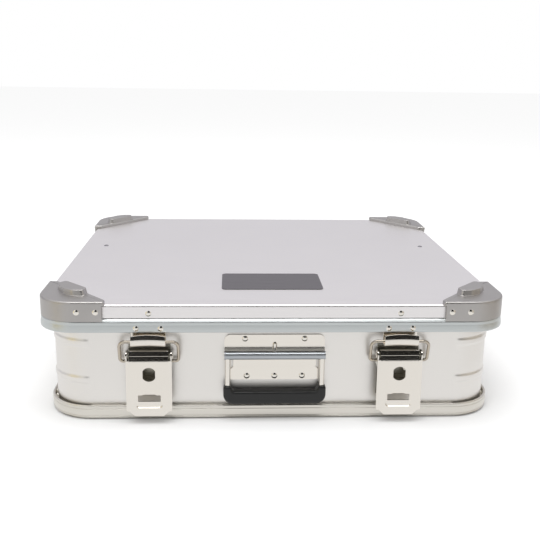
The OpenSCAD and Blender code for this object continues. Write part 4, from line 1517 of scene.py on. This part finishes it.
@dataclass
class Studio:
    """White sweep, soft light and the photograph's camera."""

    WHITE: ClassVar[Colour] = (1, 1, 1, 1)

    camera_at: Vector = Vector((-57.0, -1207.2, 440.7)) * MM
    yaw: float = math.radians(3.021)
    pitch: float = math.radians(14.661)
    roll: float = math.radians(0.863)
    focal_px: float = 795.3
    frame_px: float = 540.0
    sensor_mm: float = 36.0
    floor_half: float = 12.0
    floor_white: float = 0.92
    lift_span: Point = (0.4, 1.6)
    lift_levels: Point = (0.05, 0.40)
    grey: str = "#f2f3f3"
    grey_span: Point = (-1.25, -0.85)
    back_grey: str = "#cac9d0"
    back_span: Point = (-0.3, 0.3)
    shade_reach: float = 0.06
    shade_span: Point = (0.2, 0.62)
    sky_level: float = 0.60
    sky_span: Point = (0.40, 0.65)
    # Painted reflections: a dark card in front, and lighter warm cards low at the two sides, which only metal
    # mirrors.
    cards: tuple[Card, ...] = (
        Card("dark_card", "#1c1b1a", (-0.6, -1.3), (1.1, -1.3), 0.40, 2.3),
        Card("right_card", "#cdc6bb", (0.72, -0.9), (0.72, -0.1), 0.0, 0.6),
        Card("left_card", "#f2e2b4", (-0.78, -0.75), (-0.78, -0.45), 0.0, 0.6),
    )
    lamps: tuple[SoftBox, ...] = (
        SoftBox("overhead", (0.0, -0.25, 2.05), 1.6, 24.0, True),
        SoftBox("front", (-0.6, -1.5, 1.7), 1.2, 13.0, False),
    )

    def camera(self) -> None:
        """Sets the camera at the photograph's viewpoint."""
        level = math.cos(self.pitch)
        ahead = Vector((math.sin(self.yaw) * level, math.cos(self.yaw) * level, -math.sin(self.pitch)))
        right = Vector((math.cos(self.yaw), -math.sin(self.yaw), 0))
        up = right.cross(ahead)
        across = right * math.cos(self.roll) + up * math.sin(self.roll)
        above = up * math.cos(self.roll) - right * math.sin(self.roll)
        lens = bpy.data.cameras.new("camera")
        lens.sensor_width = self.sensor_mm
        lens.lens = self.focal_px * self.sensor_mm / self.frame_px
        camera = bpy.data.objects.new("camera", lens)
        bpy.context.scene.collection.objects.link(camera)
        turn = Matrix((across, above, -ahead)).transposed().to_4x4()
        camera.matrix_world = Matrix.Translation(self.camera_at) @ turn
        bpy.context.scene.camera = camera

    def paper(self) -> bpy.types.Material:
        """White paper that keeps the shadow; metal mirrors it white near the case and grey far in front.

        Returns:
            The floor's material.
        """
        made = bpy.data.materials.new("white_paper")
        tree = bare_tree(made)
        seen = add(tree, "ShaderNodeLightPath")
        direct = add(
            tree, "ShaderNodeMath", {"operation": "MAXIMUM"},
            {0: seen.outputs["Is Camera Ray"], 1: seen.outputs["Is Transmission Ray"]},
        )
        place = add(tree, "ShaderNodeNewGeometry").outputs["Position"]
        away = add(tree, "ShaderNodeVectorMath", {"operation": "LENGTH"}, {0: place})
        far = add(
            tree, "ShaderNodeMapRange",
            {"From Min": self.lift_span[0], "From Max": self.lift_span[1],
             "To Min": self.lift_levels[0], "To Max": self.lift_levels[1]},
            {"Value": away.outputs["Value"]},
        )
        lift = add(
            tree, "ShaderNodeMath", {"operation": "MULTIPLY"},
            {0: direct.outputs[0], 1: far.outputs["Result"]},
        )
        glow = add(tree, "ShaderNodeEmission", {"Color": self.WHITE}, {"Strength": lift.outputs[0]})
        white = self.floor_white
        matt = add(tree, "ShaderNodeBsdfDiffuse", {"Color": (white, white, white, 1)})
        shown = add(tree, "ShaderNodeAddShader", None, {0: matt.outputs[0], 1: glow.outputs[0]})
        depth = add(tree, "ShaderNodeSeparateXYZ", None, {0: place}).outputs["Y"]
        near = add(
            tree, "ShaderNodeMapRange", {"From Min": self.grey_span[0], "From Max": self.grey_span[1]},
            {"Value": depth},
        )
        tint = add(
            tree, "ShaderNodeMix", {"data_type": "RGBA", 6: linear(self.grey), 7: self.WHITE},
            {0: near.outputs["Result"]},
        )
        shade = add(tree, "ShaderNodeAmbientOcclusion", {"Distance": self.shade_reach})
        dim = add(
            tree, "ShaderNodeMapRange", {"From Min": self.shade_span[0], "From Max": self.shade_span[1]},
            {"Value": shade.outputs["AO"]},
        )
        mirror = add(
            tree, "ShaderNodeEmission", None, {"Color": tint.outputs[2], "Strength": dim.outputs["Result"]},
        )
        both = add(
            tree, "ShaderNodeMixShader", None,
            {0: seen.outputs["Is Glossy Ray"], 1: shown.outputs[0], 2: mirror.outputs[0]},
        )
        add(tree, "ShaderNodeOutputMaterial", None, {"Surface": both.outputs[0]})
        return made

    def sheet(self, name: str, corners: list[Vector], finish: bpy.types.Material) -> bpy.types.Object:
        """Puts one flat sheet on the stage.

        Args:
            name: the sheet's name.
            corners: its four corners.
            finish: its material.
        Returns:
            The sheet.
        """
        bm = bmesh.new()
        bm.faces.new([bm.verts.new(c) for c in corners])
        mesh = bpy.data.meshes.new(name)
        bm.to_mesh(mesh)
        bm.free()
        mesh.materials.append(finish)
        sheet = bpy.data.objects.new(name, mesh)
        bpy.context.scene.collection.objects.link(sheet)
        return sheet

    def floor(self) -> None:
        """Lays a white floor that keeps the case's shadow."""
        signs = ((-1, -1), (1, -1), (1, 1), (-1, 1))
        corners = [Vector((x * self.floor_half, y * self.floor_half, 0)) for x, y in signs]
        self.sheet("floor", corners, self.paper())

    def hang_card(self, card: Card) -> None:
        """Hangs one matt card that only metal shows, as a painted reflection that no camera sees and that
        casts no shadow.

        Args:
            card: its colour and place.
        """
        finish = bpy.data.materials.new(card.name)
        tree = bare_tree(finish)
        matt = add(tree, "ShaderNodeBsdfDiffuse", {"Color": linear(card.colour)})
        add(tree, "ShaderNodeOutputMaterial", None, {"Surface": matt.outputs[0]})
        sheet = self.sheet(card.name, card.corners(), finish)
        sheet.visible_camera = False
        sheet.visible_diffuse = False
        sheet.visible_shadow = False
        sheet.visible_transmission = False

    def sky(self) -> None:
        """A white surround, which metal mirrors a little greyer low down in front and behind."""
        world = bpy.data.worlds.new("studio")
        bpy.context.scene.world = world
        tree = bare_tree(world)
        seen = add(tree, "ShaderNodeLightPath")
        way = add(tree, "ShaderNodeTexCoord").outputs["Generated"]
        axes = add(tree, "ShaderNodeSeparateXYZ", None, {0: way})
        low = add(
            tree, "ShaderNodeMapRange",
            {"From Min": self.sky_span[0], "From Max": self.sky_span[1], "To Min": 1.0, "To Max": 0.0},
            {"Value": axes.outputs["Z"]},
        )
        behind = add(
            tree, "ShaderNodeMapRange", {"From Min": self.back_span[0], "From Max": self.back_span[1]},
            {"Value": axes.outputs["Y"]},
        )
        tone = add(
            tree, "ShaderNodeMix", {"data_type": "RGBA", 6: linear(self.grey), 7: linear(self.back_grey)},
            {0: behind.outputs["Result"]},
        )
        room = add(
            tree, "ShaderNodeMix", {"data_type": "RGBA", 6: self.WHITE},
            {0: low.outputs["Result"], 7: tone.outputs[2]},
        )
        direct = add(
            tree, "ShaderNodeMath", {"operation": "MAXIMUM"},
            {0: seen.outputs["Is Camera Ray"], 1: seen.outputs["Is Transmission Ray"]},
        )
        level = self.sky_level
        plain = add(
            tree, "ShaderNodeMix", {"data_type": "RGBA", 6: (level, level, level, 1), 7: self.WHITE},
            {0: direct.outputs[0]},
        )
        colour = add(
            tree, "ShaderNodeMix", {"data_type": "RGBA"},
            {0: seen.outputs["Is Glossy Ray"], 6: plain.outputs[2], 7: room.outputs[2]},
        )
        light = add(tree, "ShaderNodeBackground", {"Strength": 1.0}, {"Color": colour.outputs[2]})
        add(tree, "ShaderNodeOutputWorld", None, {"Surface": light.outputs[0]})

    def hang_lamp(self, lamp: SoftBox) -> None:
        """Hangs one soft box that faces the case.

        Args:
            lamp: its place, width and power.
        """
        box = bpy.data.lights.new(lamp.name, "AREA")
        box.shape = "SQUARE"
        box.size = lamp.size
        box.energy = lamp.watts
        hung = bpy.data.objects.new(lamp.name, box)
        hung.location = lamp.at
        hung.visible_glossy = lamp.mirrored
        hung.rotation_euler = (-Vector(lamp.at)).to_track_quat("-Z", "Y").to_euler()
        bpy.context.scene.collection.objects.link(hung)

    def build(self) -> None:
        """Sets up camera, floor and light."""
        self.camera()
        self.floor()
        for card in self.cards:
            self.hang_card(card)
        self.sky()
        for lamp in self.lamps:
            self.hang_lamp(lamp)
        bpy.context.scene.view_settings.view_transform = "Standard"


def main() -> None:
    logging.basicConfig(level=logging.INFO, format="%(message)s")
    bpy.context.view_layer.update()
    Studio().build()
    CaseBody().build()
    Lid().build()
    for side in Side:
        DrawLatch(side).build()
    DropHandle().build()
    RearHinges().build()
    StrapAnchors().build()
    rivets = Rivets()
    for node in ("corner_rivets", "rim_rivets", "hook_rivets", "hinge_lid_rivets"):
        rivets.build(node, "lid")
    rivets.build("strap_anchor_lid_rivets", "lid", finish=DULL_RIVET)
    for node in ("latch_rivets", "handle_rivets", "hinge_body_rivets", "strap_anchor_body_rivets"):
        rivets.build(node, "case_body", tail=True)


if __name__ == "__main__":
    main()
